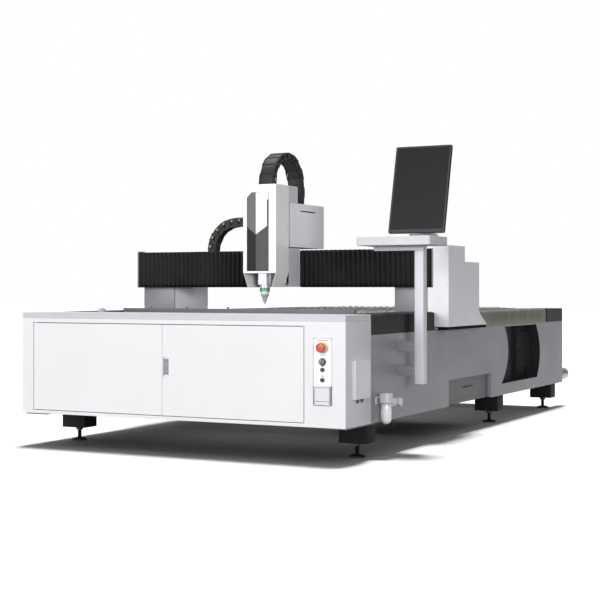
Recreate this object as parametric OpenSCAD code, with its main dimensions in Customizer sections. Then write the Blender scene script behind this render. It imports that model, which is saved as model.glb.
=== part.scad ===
// Flatbed gantry laser cutting machine: a long bed on levelling feet with an
// electrics cabinet across its front, a slat table, a gantry that travels along
// the bed, a cutting head that travels along the gantry, and an operator console.
// Millimetres, +Z up, +Y towards the rear. The origin is at the middle of the
// machine's footprint, on the floor.

/* [Bed] */
// Width of the bed and of the front cabinet
bed_w = 2300; // [1916:1:2760]
// Length from the cabinet's front to the rear panel
bed_l = 4360; // [3900:1:5232]
// Height of the bed's underside above the floor
bed_z = 215; // [180:1:258]
// Height of the deck that carries the rails
deck_z = 737; // [700:1:800]
// Thickness of the folded sheet of cabinet, panels and covers
sheet = 3; // [2:0.5:4]
// Thickness of the deck plates
deck_t = 8; // [6:1:12]
// Width of the main side beams
side_beam_w = 180; // [150:1:200]
// Height of the main side beams
side_beam_h = 200; // [160:1:230]
// Wall of the bed's tubes and channels
tube_t = 8; // [5:1:10]
// Size of the lower rails, posts and cross channels
lower_w = 80; // [60:1:90]
// Distance of each side beam's outer face from the bed's side
beam_inset = 100; // [96:1:110]

/* [Front cabinet] */
// Depth of the front cabinet
cab_d = 353; // [300:1:420]
// Height of the cabinet's sheet body
cab_h = 608; // [600:1:640]
// Height of the grey lid that closes the cabinet
lid_h = 36; // [20:1:45]
// Margin from the cabinet's left side to the left door
door_margin_l = 95; // [60:1:120]
// Margin from the right door to the cabinet's right side
door_margin_r = 267; // [240:1:300]
// Where the doors meet, left of the middle
door_meet = 82; // [0:1:150]
// Height of the doors' lower edge above the cabinet's bottom
door_rise = 25; // [22:1:40]
// Height of the doors
door_h = 552; // [480:1:560]
// Depth of a door's folded edge
door_d = 20; // [16:1:24]
// Gap between the two doors
door_gap = 3; // [2:0.5:6]
// Gap between a door and the frame round it
frame_gap = 4; // [4:0.5:6]
// Radius of the door pivot pins
pivot_r = 4; // [3:0.5:5]
// Radial clearance of pins and stems that turn or slide
fit = 0.05; // [0.02:0.01:0.08]
// Height of the door's recessed pull
pull_h = 115; // [90:1:140]
// Width of the door's recessed pull
pull_w = 40; // [34:1:50]

/* [Control panel] */
// Width of the control plate
panel_w = 128; // [120:1:140]
// Height of the control plate
panel_h = 393; // [380:1:420]
// Distance of the control plate's middle from the cabinet's right side
panel_in = 144; // [120:1:160]
// Radius of the emergency stop's mushroom head
estop_r = 28; // [20:1:30]
// Travel of the emergency stop
estop_travel = 6; // [4:0.5:7]
// Radius of the rotary switch's knob
knob_r = 17; // [12:1:20]
// Radius of the two push buttons
button_r = 9; // [7:0.5:11]
// Travel of the push buttons
button_travel = 3; // [2:0.5:4]
// Side of the square socket cover
socket_w = 117; // [100:1:120]

/* [Feet] */
// Width of the leg blocks
block_w = 180; // [140:1:216]
// Height of the leg blocks
block_h = 125; // [90:1:150]
// Radius of the levelling pads
pad_r = 50; // [35:1:60]
// Radius of the levelling stems
stem_r = 13; // [10:1:16]
// Distance of the feet from the bed's sides
foot_in = 130; // [108:1:160]

/* [Slat table] */
// Distance from the bed's side to the outer face of a side comb
comb_in = 360; // [350:1:380]
// Thickness of the side combs
comb_t = 10; // [6:1:14]
// Height of the slats' points
slat_top = 862; // [850:1:880]
// Height of the slats
slat_h = 100; // [70:1:110]
// Thickness of one slat
slat_t = 3; // [2:0.5:4]
// Distance from slat to slat
slat_pitch = 110; // [80:1:160]
// Distance from point to point along a slat
tooth_pitch = 60; // [40:1:90]
// Depth of the gaps between the points
tooth_h = 26; // [15:1:35]
// Start of the table behind the cabinet's front
table_y = 730; // [700:1:800]
// Length of the table
table_l = 3470; // [3000:1:3500]

/* [Gantry] */
// Distance of the rails from the bed's sides
rail_in = 150; // [145:1:160]
// Size of the rails' square section
rail_w = 30; // [20:1:35]
// Front of the gantry's bellows when the gantry is at rest
gantry_y = 1400; // [1390:1:1600]
// Underside of the cross beam's bellows
beam_z = 1020; // [1000:1:1060]
// Height of the cross beam's bellows
beam_bellows_h = 260; // [240:1:280]
// Depth of the cross beam
beam_d = 200; // [160:1:220]
// Wall of the cross beam
beam_t = 10; // [6:1:12]
// How far the cross beam's left end stands out past the bed's side
beam_out_l = 55; // [45:1:80]
// How far the cross beam's right end stays inside the bed's side
beam_in_r = 22; // [10:1:26]
// Width of each leg below the beam
leg_w = 268; // [250:1:290]
// Depth of the legs
leg_d = 470; // [440:1:500]
// Distance of the right leg's outer face from the bed's side
leg_in_r = 65; // [60:1:70]
// How far the white drive cover stands out past the bed's side
cover_out = 90; // [80:1:100]
// Depth of the drive cover at its widest
cover_d = 595; // [560:1:620]
// Thickness of the bellows' walls
bellows_t = 22; // [12:1:26]

/* [Travel] */
// Travel of the gantry from rest towards the front, up to the console's tray
y_front = 450; // [300:1:470]
// Distance from the bed's side to the head's middle at the end of its travel
x_stop = 400; // [380:1:450]

/* [Head] */
// Left side of the head's white cover, from its middle
head_left = 110; // [100:1:120]
// Right side of the head's white cover, from its middle
head_right = 142; // [130:1:150]
// Depth of the head's white cover
head_d = 205; // [190:1:220]
// Underside of the head's cover
head_z = 1022; // [1010:1:1040]
// Height of the head's cover
head_h = 693; // [600:1:720]
// Height of the saddle cover's top
saddle_top = 1600; // [1540:1:1640]
// Rear face of the saddle cover, behind the head's cover
saddle_d = 525; // [500:1:560]
// Depth of the hood over the cables behind the head
hood_d = 132; // [100:1:150]
// Height of that hood above the saddle cover
hood_h = 115; // [60:1:120]
// Height of the nozzle's tip
tip_z = 908; // [895:1:925]
// Middle of the cutting head, right of the bed's middle
barrel_x = 25; // [0:1:32]
// Radius of the cutting head's barrel
barrel_r = 34; // [28:1:40]

/* [Cable chains] */
// Outer radius of the cross chain's bend
x_bend_r = 245; // [200:1:250]
// Height of the cross chain's links
link_h = 66; // [40:1:70]
// Width of the cross chain
x_chain_w = 80; // [60:1:84]
// Outer radius of the head chain's bend
z_bend_r = 235; // [200:1:240]
// Height of the head chain's links
z_link_h = 44; // [36:1:60]
// Width of the head chain
z_chain_w = 115; // [90:1:125]
// Top of the head chain
z_chain_top = 1955; // [1930:1:1975]

/* [Console] */
// Side of the console's square post
post_w = 60; // [50:1:70]
// Gap between the bed's side and the post
post_gap = 112; // [108:1:140]
// Distance from the tray's front to the post's front face
post_set = 130; // [90:1:140]
// Lower end of the post
post_z0 = 428; // [380:1:440]
// Upper end of the post
post_z1 = 1245; // [1200:1:1250]
// Width of the tray
tray_w = 485; // [440:1:500]
// Depth of the tray
tray_d = 300; // [240:1:310]
// Height of the tray's rim
tray_h = 55; // [40:1:65]
// Width of the monitor
monitor_w = 368; // [330:1:420]
// Height of the monitor
monitor_h = 560; // [500:1:600]
// Backward lean of the monitor at rest, in degrees
monitor_lean = 14; // [8:1:20]

/* [Slag drawer] */
// Front edge of the drawer along the bed
drawer_y = 1640; // [1600:1:1800]
// Width of the drawer
drawer_w = 860; // [600:1:880]
// Height of the drawer
drawer_h = 172; // [120:1:180]
// Depth of the drawer into the bed
drawer_d = 900; // [700:1:950]

/* [Hidden] */
$fn = 64;

// Half of the bed's width, used all through
half = bed_w / 2;
// Small running gap between flat faces that slide past each other
slide_gap = 0.5;
// Gap at which a piece rests on its seat
seat_gap = 0.3;

// Heights of the cabinet
cab_top = bed_z + cab_h;
door_z0 = bed_z + door_rise;
door_z1 = door_z0 + door_h;
door_x0 = -half + door_margin_l;
door_x1 = half - door_margin_r;

// Pivot axes of the doors: set in from the door's edge and from its face
pivot_in = 8;
pivot_y = 8;
left_pivot_x = door_x0 + pivot_in;
right_pivot_x = door_x1 - pivot_in;
boss_h = 14;

// Mounting plate of the drives inside the cabinet
rack_x0 = -60;
rack_x1 = half - 320;
rack_y = cab_d - sheet - 6;

// Control plate and what is on it
panel_x = half - panel_in;
plate_t = 2;
panel_z0 = bed_z + 125;
socket_z0 = panel_z0 + 2;
estop_z = panel_z0 + 334;
knob_z = panel_z0 + 253;
start_z = panel_z0 + 207;
stop_z = panel_z0 + 149;
collar_t = 8;
estop_head_t = 20;
hole_clear = 0.6;
stem_len = 40;
estop_stem_r = 11;
knob_stem_r = 8;
button_stem_r = 6;
estop_front = -plate_t - collar_t - estop_travel - 1 - estop_head_t;

// Bed structure
beam_x1 = half - beam_inset;
beam_x0 = beam_x1 - side_beam_w;
deck_z0 = deck_z - deck_t;
frame_end = bed_l - sheet;
frame_x = half - sheet;

// Mouth of the slag drawer in the bed's side, its runners and its bar handle
mouth_gap = 2;
mouth_y0 = drawer_y - mouth_gap;
mouth_y1 = drawer_y + drawer_w + mouth_gap;
runner_w = 30;
runner_t = 4;
handle_l = 150;
handle_r = 5;
handle_out = 15;

// Recess in the right side panel, its liner and its bulge
recess_z0 = bed_z + lower_w + sheet + 2;
recess_z1 = deck_z0 - sheet - 2;
recess_depth = beam_inset - sheet - 10;
recess_front_low = 2749;
recess_front_high = 2816;
recess_rear_low = 3634;
recess_rear_high = 3609;
recess_bulge = 120;
recess_rear_bulge = 95;

// Feet
pad_t = 20;
foot_ys = [cab_d + 87, 2836, bed_l - 145];
block_d = 140;
block_z0 = bed_z - block_h;
stem_in = 60;
nut_t = 20;

// Slat table and the deck plates it stands on
comb_x = half - comb_in;
deck_in = comb_x - 20;
slat_z0 = slat_top - slat_h;
slat_n = floor((table_l - 200) / slat_pitch);
slat_y0 = table_y + 30 + (table_l - 60 - (slat_n - 1) * slat_pitch) / 2;
comb_top = slat_z0 + slat_h * 0.85;
front_bar_x = comb_x + 80;
bar_top = slat_top + 18;
bar_d = 30;

// Rails, racks and drives
rail_x = half - rail_in;
rail_top = deck_z + rail_w;
rail_inset = 20;
rack_w = 30;
rack_h = 34;
rack_face = rail_x + 90;
pinion_r = 45;
pinion_z = deck_z + 4;
pinion_t = 26;
shaft_r = 14;
motor_h = 180;
pinion_x = rack_face + slide_gap + pinion_r;
motor_w = 80;
base_z0 = deck_z + 53;
base_t = 20;
base_z1 = base_z0 + base_t;
beam_y0 = gantry_y + 90;
leg_y0 = beam_y0;
leg_y1 = leg_y0 + leg_d;
drive_y = leg_y0 + 120;
block_l = 110;

// Cross beam
beam_left = half + beam_out_l;
beam_right = half - beam_in_r;
leg_out_r = half - leg_in_r;
cover_x = half + cover_out;
bellows_z1 = beam_z + beam_bellows_h;
beam_z0 = beam_z + 20;
beam_z1 = bellows_z1 - 12;
beam_y1 = beam_y0 + beam_d;
x_rail_w = 20;
x_rail_z0 = beam_z + 60;
x_rail_z1 = bellows_z1 - 60;

// Bellows along the bed
bellows_in = rail_x - 100;
bellows_top = deck_z + 123;
rear_bellows_end = bed_l - 460;

// Carriage and head
head_y1 = gantry_y - 145;
head_y0 = head_y1 - head_d;
head_top = head_z + head_h;
chamfer_h = 102;
saddle_y1 = head_y1 + saddle_d;
head_t = 2;
screw_x = -72;
screw_r = 8;
barrel_y = head_y0 + 60;
cover_floor = head_z + 40;

// Cross chain: lower run in a tray on the beam's rear, upper run to the saddle
x_chain_y = beam_y1 + 2;
chain_tray_t = 4;
x_chain_z0 = beam_z0 + chain_tray_t + seat_gap;
chain_tray_y1 = beam_y1 + x_chain_w + 30;
x_travel = half - x_stop;
x_bend_x = -x_travel / 2 - 162;
chain_tray_x0 = -beam_left + leg_w + 10;
chain_tray_x1 = x_travel / 2 + 125;
x_chain_top = x_chain_z0 + 2 * x_bend_r;

// Head chain: front leg on the head cover, rear leg on the saddle cover
z_chain_x = 24;
z_chain_y = head_y0 + 78 + z_bend_r;
z_bend_z = z_chain_top - z_bend_r;

// Console
post_x = half + post_gap;
tray_x0 = post_x - 332;
tray_clear = 30;
tray_y0 = gantry_y - y_front - tray_clear - tray_d;
post_y = tray_y0 + post_set;
tray_z0 = post_z1 + 30;
monitor_x = post_x + 14;
tilt_y = post_y + 110;
tilt_z = tray_z0 + 316;
tilt_pin_r = 6;

// Air preparation unit
air_y = 455;
air_x = half + 52;
valve_y = air_y + 130;

// Exhaust spigot
spigot_x = half - 52;
spigot_z = bed_z + 60;
spigot_r = 50;
spigot_l = 200;
// Room left free in front of the spigot, and behind the last cross channel
duct_clear = 75;
rear_clear = 300;
// Where the frame's posts, ties and cross channels stand
frame_ys = [cab_d, mouth_y0 - lower_w, mouth_y1, bed_l - rear_clear - lower_w];

// Middle of the footprint, which is the origin
mid_x = (monitor_x + monitor_w / 2 - beam_left) / 2;
mid_y = (bed_l + spigot_l + estop_front) / 2;

// ---- helpers ----

// Moves a piece from the machine's own axes to the footprint's middle
module place() {
    translate([-mid_x, -mid_y, 0]) children();
}

// A block from its lowest corner to its highest corner
module block(low, high) {
    translate(low) cube(high - low);
}

// A round bar along X, Y or Z from a starting point
module bar_x(p, r, l) { translate(p) rotate([0, 90, 0]) cylinder(r = r, h = l); }
module bar_y(p, r, l) { translate(p) rotate([-90, 0, 0]) cylinder(r = r, h = l); }
module bar_z(p, r, l) { translate(p) cylinder(r = r, h = l); }

// The same thing on the left and on the right
module both_sides() {
    children();
    mirror([1, 0, 0]) children();
}

// An open channel along X, its mouth towards the rear
module channel_x(x0, x1, y0, z0) {
    difference() {
        block([x0, y0, z0], [x1, y0 + lower_w, z0 + lower_w]);
        block([x0 - 1, y0 + tube_t, z0 + tube_t],
              [x1 + 1, y0 + lower_w + 1, z0 + lower_w - tube_t]);
    }
}

// A curve from one height to another that bulges by b at mid height
function bulged(y0, y1, b, n) =
    [for (i = [0:n]) let (t = i / n) [y0 + (y1 - y0) * t + 4 * b * t * (1 - t), t]];

// Outline of the recess in the side panel, grown by m, as [Y, Z]
function recess_outline(m) =
    let (n = 16, z0 = recess_z0 - m, z1 = recess_z1 + m,
         front = bulged(recess_front_low - m, recess_front_high - m, recess_bulge, n),
         rear = bulged(recess_rear_low + m, recess_rear_high + m, recess_rear_bulge, n))
    concat([for (p = front) [p[0], z0 + (z1 - z0) * p[1]]],
           [for (i = [n:-1:0]) [rear[i][0], z0 + (z1 - z0) * rear[i][1]]]);

// Extrudes a [Y, Z] outline along +X from x0 to x1
module side_profile(points, x0, x1) {
    translate([x0, 0, 0]) rotate([90, 0, 90])
        linear_extrude(height = x1 - x0) polygon(points);
}

// ---- bed ----

module bed_frame() color("dimgray") place() {
    // Main side beams: open-ended box tubes
    both_sides() difference() {
        block([beam_x0, cab_d, deck_z0 - side_beam_h], [beam_x1, frame_end, deck_z0]);
        block([beam_x0 + tube_t, cab_d - 1, deck_z0 - side_beam_h + tube_t],
              [beam_x1 - tube_t, frame_end + 1, deck_z0 - tube_t]);
    }
    // Deck plates that carry rails, racks and the slat table
    both_sides() block([deck_in, cab_d, deck_z0], [frame_x, frame_end, deck_z]);
    // Closing plates in front of the slat table and behind it
    block([-deck_in, cab_d, deck_z0], [deck_in, table_y + bar_d, deck_z]);
    block([-deck_in, table_y + table_l - bar_d, deck_z0], [deck_in, frame_end, deck_z]);
    // Lower rails; the right one leaves the drawer's mouth free
    lower_rail(-frame_x, cab_d, frame_end);
    lower_rail(frame_x - lower_w, cab_d, mouth_y0);
    lower_rail(frame_x - lower_w, mouth_y1, bed_l - duct_clear);
    // Posts between the lower rails and the side beams
    both_sides() for (y = frame_ys)
        block([beam_x1 - lower_w, y, bed_z], [beam_x1, y + lower_w, deck_z0 - side_beam_h]);
    // Ties from the posts' feet out to the lower rails
    both_sides() for (y = frame_ys)
        block([beam_x1 - lower_w, y, bed_z], [frame_x - tube_t, y + lower_w, bed_z + tube_t]);
    // Cross channels
    for (y = frame_ys)
        channel_x(-beam_x1 + lower_w, beam_x1 - lower_w, y, bed_z);
    // Drawer runners, one on each side of the drawer
    for (y = [mouth_y0, mouth_y1 - runner_w])
        block([half - drawer_d - 40, y, bed_z], [frame_x - lower_w, y + runner_w, bed_z + runner_t]);
    // Leg blocks, each drilled for its levelling stem
    both_sides() for (y = foot_ys) difference() {
        block([half - foot_in - block_w / 2, y - block_d / 2, block_z0],
              [half - foot_in + block_w / 2, y + block_d / 2, bed_z]);
        bar_z([half - foot_in, y, block_z0 - 1], stem_r + seat_gap, stem_in + 11);
    }
    // Pads that tie the leg blocks to the lower rails
    both_sides() for (y = foot_ys)
        block([half - foot_in - block_w / 2, y - block_d / 2, bed_z],
              [frame_x, y + block_d / 2, bed_z + tube_t]);
    // Bearers under the front cabinet
    both_sides() block([beam_x1 - lower_w, 30, bed_z - 10], [frame_x - tube_t, cab_d + lower_w, bed_z]);
}

module lower_rail(x, y0, y1) {
    difference() {
        block([x, y0, bed_z], [x + lower_w, y1, bed_z + lower_w]);
        block([x + tube_t, y0 - 1, bed_z + tube_t],
              [x + lower_w - tube_t, y1 + 1, bed_z + lower_w - tube_t]);
    }
}

module left_side_panel() color("gray") place() {
    block([-half, cab_d, bed_z], [-half + sheet, frame_end, deck_z]);
}

module right_side_panel() color("gray") place() {
    difference() {
        block([half - sheet, cab_d, bed_z], [half, frame_end, deck_z]);
        side_profile(recess_outline(0), half - sheet - 1, half + 1);
        block([half - sheet - 1, mouth_y0, bed_z - 1],
              [half + 1, mouth_y1, bed_z + drawer_h + 7]);
    }
}

module recess_liner() color([0.08, 0.08, 0.09]) place() {
    difference() {
        side_profile(recess_outline(sheet), half - sheet - recess_depth, half - sheet);
        side_profile(recess_outline(0), half - recess_depth, half);
    }
    // Upright fold that parts the recess into two fields
    block([half - recess_depth, 3250, recess_z0],
          [half - recess_depth + 40, 3256, recess_z1]);
}

module rear_panel() color("gainsboro") place() {
    difference() {
        block([-half, frame_end, bed_z], [half, bed_l, deck_z]);
        bar_y([spigot_x, frame_end - 1, spigot_z], spigot_r - 3, sheet + 2);
    }
}

module exhaust_spigot() color("silver") place() {
    difference() {
        union() {
            bar_y([spigot_x, bed_l, spigot_z], spigot_r, spigot_l);
            bar_y([spigot_x, bed_l, spigot_z], spigot_r + 5, 4);
        }
        bar_y([spigot_x, bed_l - 1, spigot_z], spigot_r - 3, spigot_l + 2);
    }
}

module levelling_feet() color([0.15, 0.15, 0.16]) place() {
    both_sides() for (y = foot_ys) translate([half - foot_in, y, 0]) {
        cylinder(r = pad_r, h = pad_t * 0.6);
        translate([0, 0, pad_t * 0.6]) cylinder(r1 = pad_r, r2 = stem_r + 8, h = pad_t * 0.4);
        cylinder(r = stem_r, h = block_z0 + stem_in);
        // Lock nut under the leg block
        translate([0, 0, block_z0 - nut_t]) cylinder(r = stem_r + 11, h = nut_t, $fn = 6);
    }
}

// ---- front cabinet ----

module front_cabinet() color("white") place() {
    difference() {
        block([-half, 0, bed_z], [half, cab_d, cab_top]);
        block([-half + sheet, sheet, bed_z + sheet], [half - sheet, cab_d - sheet, cab_top + 1]);
        block([door_x0 - frame_gap, -1, door_z0 - frame_gap],
              [door_x1 + frame_gap, sheet + 1, door_z1 + frame_gap]);
        panel_holes(-1, sheet + 2, hole_clear);
    }
}

// The four stem holes of the control plate and the socket's square opening
module panel_holes(y, depth, grow) {
    bar_y([panel_x, y, estop_z], estop_stem_r + grow, depth);
    bar_y([panel_x, y, knob_z], knob_stem_r + grow, depth);
    bar_y([panel_x, y, start_z], button_stem_r + grow, depth);
    bar_y([panel_x, y, stop_z], button_stem_r + grow, depth);
    block([panel_x - socket_w / 2 + 12, y, socket_z0 + 12],
          [panel_x + socket_w / 2 - 12, y + depth, socket_z0 + socket_w - 22]);
}

module cabinet_lid() color("silver") place() {
    difference() {
        block([-half, 0, cab_top], [half, cab_d, cab_top + lid_h]);
        block([-half + sheet, sheet, cab_top - 1],
              [half - sheet, cab_d - sheet, cab_top + lid_h - sheet]);
    }
}

// Pivot pins on lugs behind the cabinet's front, above and below each door
module door_pivots() color("darkgray") place() {
    for (x = [left_pivot_x, right_pivot_x]) {
        block([x - 9, sheet, door_z1 + frame_gap], [x + 9, sheet + 17, door_z1 + frame_gap + 16]);
        bar_z([x, pivot_y, door_z1 - boss_h + 1], pivot_r, boss_h + frame_gap + 8);
        block([x - 9, sheet, bed_z + sheet], [x + 9, sheet + 17, door_z0 - frame_gap]);
        bar_z([x, pivot_y, door_z0 - frame_gap - 8], pivot_r, boss_h + frame_gap + 7);
    }
}

// A door: a folded pan with a boss at each pivot
module door(x0, x1, pivot_x) {
    t = 2;
    difference() {
        union() {
            difference() {
                block([x0, 0, door_z0], [x1, door_d, door_z1]);
                block([x0 + t, t, door_z0 + t], [x1 - t, door_d + 1, door_z1 - t]);
            }
            for (z = [door_z0, door_z1 - boss_h])
                block([pivot_x - pivot_in, 0, z], [pivot_x + pivot_in, door_d, z + boss_h]);
        }
        for (z = [door_z0 - 1, door_z1 - boss_h - 1])
            bar_z([pivot_x, pivot_y, z], pivot_r + fit, boss_h + 2);
    }
}

module left_door() color("white") place() {
    door(door_x0, -door_meet - door_gap / 2, left_pivot_x);
}

// Recessed pull of the right door
pull_x = -door_meet + 27;
pull_z0 = door_z0 + 237;
pull_d = 16;
paddle_pin_z = pull_z0 + pull_h - 14;
paddle_pin_r = 2.5;

module right_door() color("white") place() {
    x0 = pull_x - pull_w / 2;
    x1 = pull_x + pull_w / 2;
    difference() {
        union() {
            door(-door_meet + door_gap / 2, door_x1, right_pivot_x);
            block([x0 - 2, 0, pull_z0 - 2], [x1 + 2, pull_d + 2, pull_z0 + pull_h + 2]);
        }
        block([x0, -1, pull_z0], [x1, pull_d, pull_z0 + pull_h]);
        // Blind seats for the paddle's pin
        bar_x([x0 - 1.5, 7, paddle_pin_z], paddle_pin_r + fit, pull_w + 3);
    }
}

module latch_paddle() color("dimgray") place() {
    difference() {
        union() {
            block([pull_x - pull_w / 2 + 2, 4, pull_z0 + 12],
                  [pull_x + pull_w / 2 - 2, 8, paddle_pin_z + 4]);
            bar_x([pull_x - pull_w / 2 + 2, 7, paddle_pin_z], 5, pull_w - 4);
        }
        // Finger scoop at the paddle's free end
        bar_x([pull_x - pull_w / 2, 1, pull_z0 + 22], 6, pull_w);
    }
    bar_x([pull_x - pull_w / 2 - 1, 7, paddle_pin_z], paddle_pin_r, pull_w + 2);
}

module control_plate() color("gainsboro") place() {
    difference() {
        block([panel_x - panel_w / 2, -plate_t, panel_z0],
              [panel_x + panel_w / 2, 0, panel_z0 + panel_h]);
        panel_holes(-plate_t - 1, plate_t + 2, hole_clear);
    }
}

// A ring on the control plate that guides a stem
module collar(z, r, stem) {
    difference() {
        bar_y([panel_x, -plate_t - collar_t, z], r, collar_t);
        bar_y([panel_x, -plate_t - collar_t - 1, z], stem + fit, collar_t + 2);
    }
}

module switch_collars() color("gold") place() {
    collar(estop_z, estop_r + 5, estop_stem_r);
    collar(knob_z, knob_r + 5, knob_stem_r);
    collar(start_z, button_r + 4, button_stem_r);
    collar(stop_z, button_r + 4, button_stem_r);
}

module estop_button() color("orangered") place() {
    bar_y([panel_x, estop_front, estop_z], estop_r, estop_head_t);
    bar_y([panel_x, estop_front + 1, estop_z], estop_stem_r, estop_head_t + stem_len);
}

module mode_knob() color([0.1, 0.1, 0.1]) place() {
    y = -plate_t - collar_t - 1 - 16;
    bar_y([panel_x, y + 4, knob_z], knob_r, 12);
    block([panel_x - 4, y - 4, knob_z - knob_r + 1], [panel_x + 4, y + 5, knob_z + knob_r - 1]);
    bar_y([panel_x, y + 5, knob_z], knob_stem_r, stem_len);
}

module push_button(z) {
    y = -plate_t - collar_t - button_travel - 1 - 5;
    bar_y([panel_x, y, z], button_r, 5);
    bar_y([panel_x, y + 1, z], button_stem_r, stem_len);
}

module start_button() color("seagreen") place() push_button(start_z);

module stop_button() color("firebrick") place() push_button(stop_z);

// Socket well behind a hinged flap
flap_t = 5;
flap_pin_r = 3;
flap_pin_z = socket_z0 + socket_w - 8;
flap_pin_y = -plate_t - 7;

module socket_box() color("silver") place() {
    s = socket_w / 2;
    difference() {
        union() {
            block([panel_x - s + 12, -plate_t, socket_z0 + 12],
                  [panel_x + s - 12, 45, socket_z0 + socket_w - 22]);
            // Ears that carry the flap's pin
            for (x = [panel_x - s, panel_x + s - 6])
                block([x, flap_pin_y - 5, flap_pin_z - 6], [x + 6, -plate_t, flap_pin_z + 6]);
            block([panel_x - s + 6, flap_pin_y + 4, flap_pin_z + 4.6],
                  [panel_x + s - 6, -plate_t, flap_pin_z + 6]);
        }
        block([panel_x - s + 16, -plate_t - 1, socket_z0 + 16],
              [panel_x + s - 16, 42, socket_z0 + socket_w - 26]);
        bar_x([panel_x - s - 1, flap_pin_y, flap_pin_z], flap_pin_r + fit, socket_w + 2);
    }
}

module socket_flap() color("whitesmoke") place() {
    s = socket_w / 2;
    block([panel_x - s + 7, flap_pin_y - 2.5, socket_z0],
          [panel_x + s - 7, flap_pin_y - 2.5 + flap_t, flap_pin_z]);
    bar_x([panel_x - s + 7, flap_pin_y, flap_pin_z], 4.2, socket_w - 14);
    bar_x([panel_x - s, flap_pin_y, flap_pin_z], flap_pin_r, socket_w);
}

module junction_box() color("lavender") place() {
    difference() {
        block([half, 83, bed_z + 159], [half + 25, 290, bed_z + 385]);
        block([half - 1, 86, bed_z + 162], [half + 22, 287, bed_z + 382]);
    }
}

// Laser source and drive rack stand inside the cabinet
module laser_source() color("darkslategray") place() {
    block([-half + 160, 60, bed_z + sheet], [-half + 860, 330, bed_z + 320]);
}

// A row of n equal devices on the rack's mounting plate
module device_row(n, pitch, w, d, z0, z1) {
    for (i = [0:n - 1])
        block([rack_x0 + 30 + i * pitch, rack_y - d, z0], [rack_x0 + 30 + i * pitch + w, rack_y, z1]);
}

// Mounting plate with a row of servo drives above a row of contactors
module drive_rack() color("slategray") place() {
    block([rack_x0, rack_y, bed_z + 60], [rack_x1, cab_d - sheet, cab_top - 60]);
    device_row(floor((rack_x1 - rack_x0 - 30) / 130), 130, 90, 130, bed_z + 300, bed_z + 500);
    device_row(floor((rack_x1 - rack_x0 - 30) / 95), 95, 70, 70, bed_z + 110, bed_z + 220);
}

// ---- slat table ----

// One slat seen from the front: points along its top edge
module slat() {
    n = floor(2 * comb_x / tooth_pitch);
    w = n * tooth_pitch / 2;
    x1 = comb_x + 8;
    translate([0, slat_t / 2, 0]) rotate([90, 0, 0]) linear_extrude(height = slat_t)
        polygon(concat(
            [[-x1, slat_z0], [x1, slat_z0], [x1, slat_top - tooth_h]],
            [for (i = [0:n - 1]) each [
                [w - i * tooth_pitch, slat_top - tooth_h],
                [w - (i + 0.5) * tooth_pitch, slat_top]]],
            [[-w, slat_top - tooth_h], [-x1, slat_top - tooth_h]]));
}

module slats() color("gray") place() {
    for (i = [0:slat_n - 1]) translate([0, slat_y0 + i * slat_pitch, 0]) slat();
}

module slat_frame() color([0.25, 0.25, 0.26]) place() {
    difference() {
        union() {
            both_sides() block([comb_x - comb_t, table_y, deck_z], [comb_x, table_y + table_l, comb_top]);
            block([-comb_x, table_y + table_l - bar_d, deck_z], [comb_x, table_y + table_l, comb_top]);
            block([-front_bar_x, table_y, deck_z], [front_bar_x, table_y + bar_d, bar_top]);
        }
        // Notches that hold the slats
        for (i = [0:slat_n - 1])
            block([-comb_x - 20, slat_y0 + i * slat_pitch - slat_t / 2 - seat_gap, slat_z0],
                  [comb_x + 20, slat_y0 + i * slat_pitch + slat_t / 2 + seat_gap, slat_top + 1]);
    }
    // Locating studs along the front bar
    for (x = [-0.75, -0.42, -0.06, 0.38]) bar_z([x * front_bar_x, table_y + bar_d / 2, bar_top - 1], 8, 13);
}

// ---- slag drawer ----

module slag_drawer() color([0.2, 0.2, 0.21]) place() {
    x0 = half - drawer_d;
    x1 = half - 25;
    z0 = bed_z + runner_t + seat_gap;
    difference() {
        block([x0, drawer_y, z0], [x1, drawer_y + drawer_w, z0 + drawer_h]);
        block([x0 + sheet, drawer_y + sheet, z0 + sheet],
              [x1 - sheet, drawer_y + drawer_w - sheet, z0 + drawer_h + 1]);
    }
    // Bar handle on the drawer's front
    y = drawer_y + drawer_w / 2;
    z = z0 + drawer_h * 0.6;
    for (s = [-1, 1]) bar_x([x1 - 1, y + s * (handle_l / 2 - 5), z], handle_r - 1, handle_out + 1);
    bar_y([x1 + handle_out, y - handle_l / 2, z], handle_r, handle_l);
}

// ---- rails, racks and bellows along the bed ----

module y_rails() color("silver") place() {
    both_sides() block([rail_x - rail_w / 2, cab_d + rail_inset, deck_z],
                       [rail_x + rail_w / 2, frame_end - rail_inset, rail_top]);
}

module y_racks() color("darkgray") place() {
    both_sides() block([rack_face - rack_w, cab_d + rail_inset, deck_z],
                       [rack_face, frame_end - rail_inset, deck_z + rack_h]);
}

// An inverted U over rail and rack, on the left and on the right
module bed_bellows(y0, y1) {
    both_sides() difference() {
        block([bellows_in, y0, deck_z], [half, y1, bellows_top]);
        block([bellows_in + bellows_t, y0 - 1, deck_z - 1],
              [half - bellows_t, y1 + 1, bellows_top - bellows_t]);
    }
}

module front_bellows() color([0.07, 0.07, 0.08]) place() bed_bellows(cab_d, gantry_y);

module rear_bellows() color([0.3, 0.3, 0.22]) place() bed_bellows(leg_y1, rear_bellows_end);

module bellows_end_boxes() color([0.15, 0.15, 0.15]) place() {
    both_sides() difference() {
        block([bellows_in, rear_bellows_end, deck_z], [half, bed_l, bellows_top - 15]);
        block([bellows_in + 4, rear_bellows_end - 1, deck_z - 1],
              [half - 4, bed_l - 4, bellows_top - 19]);
    }
}

// ---- gantry ----

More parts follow.
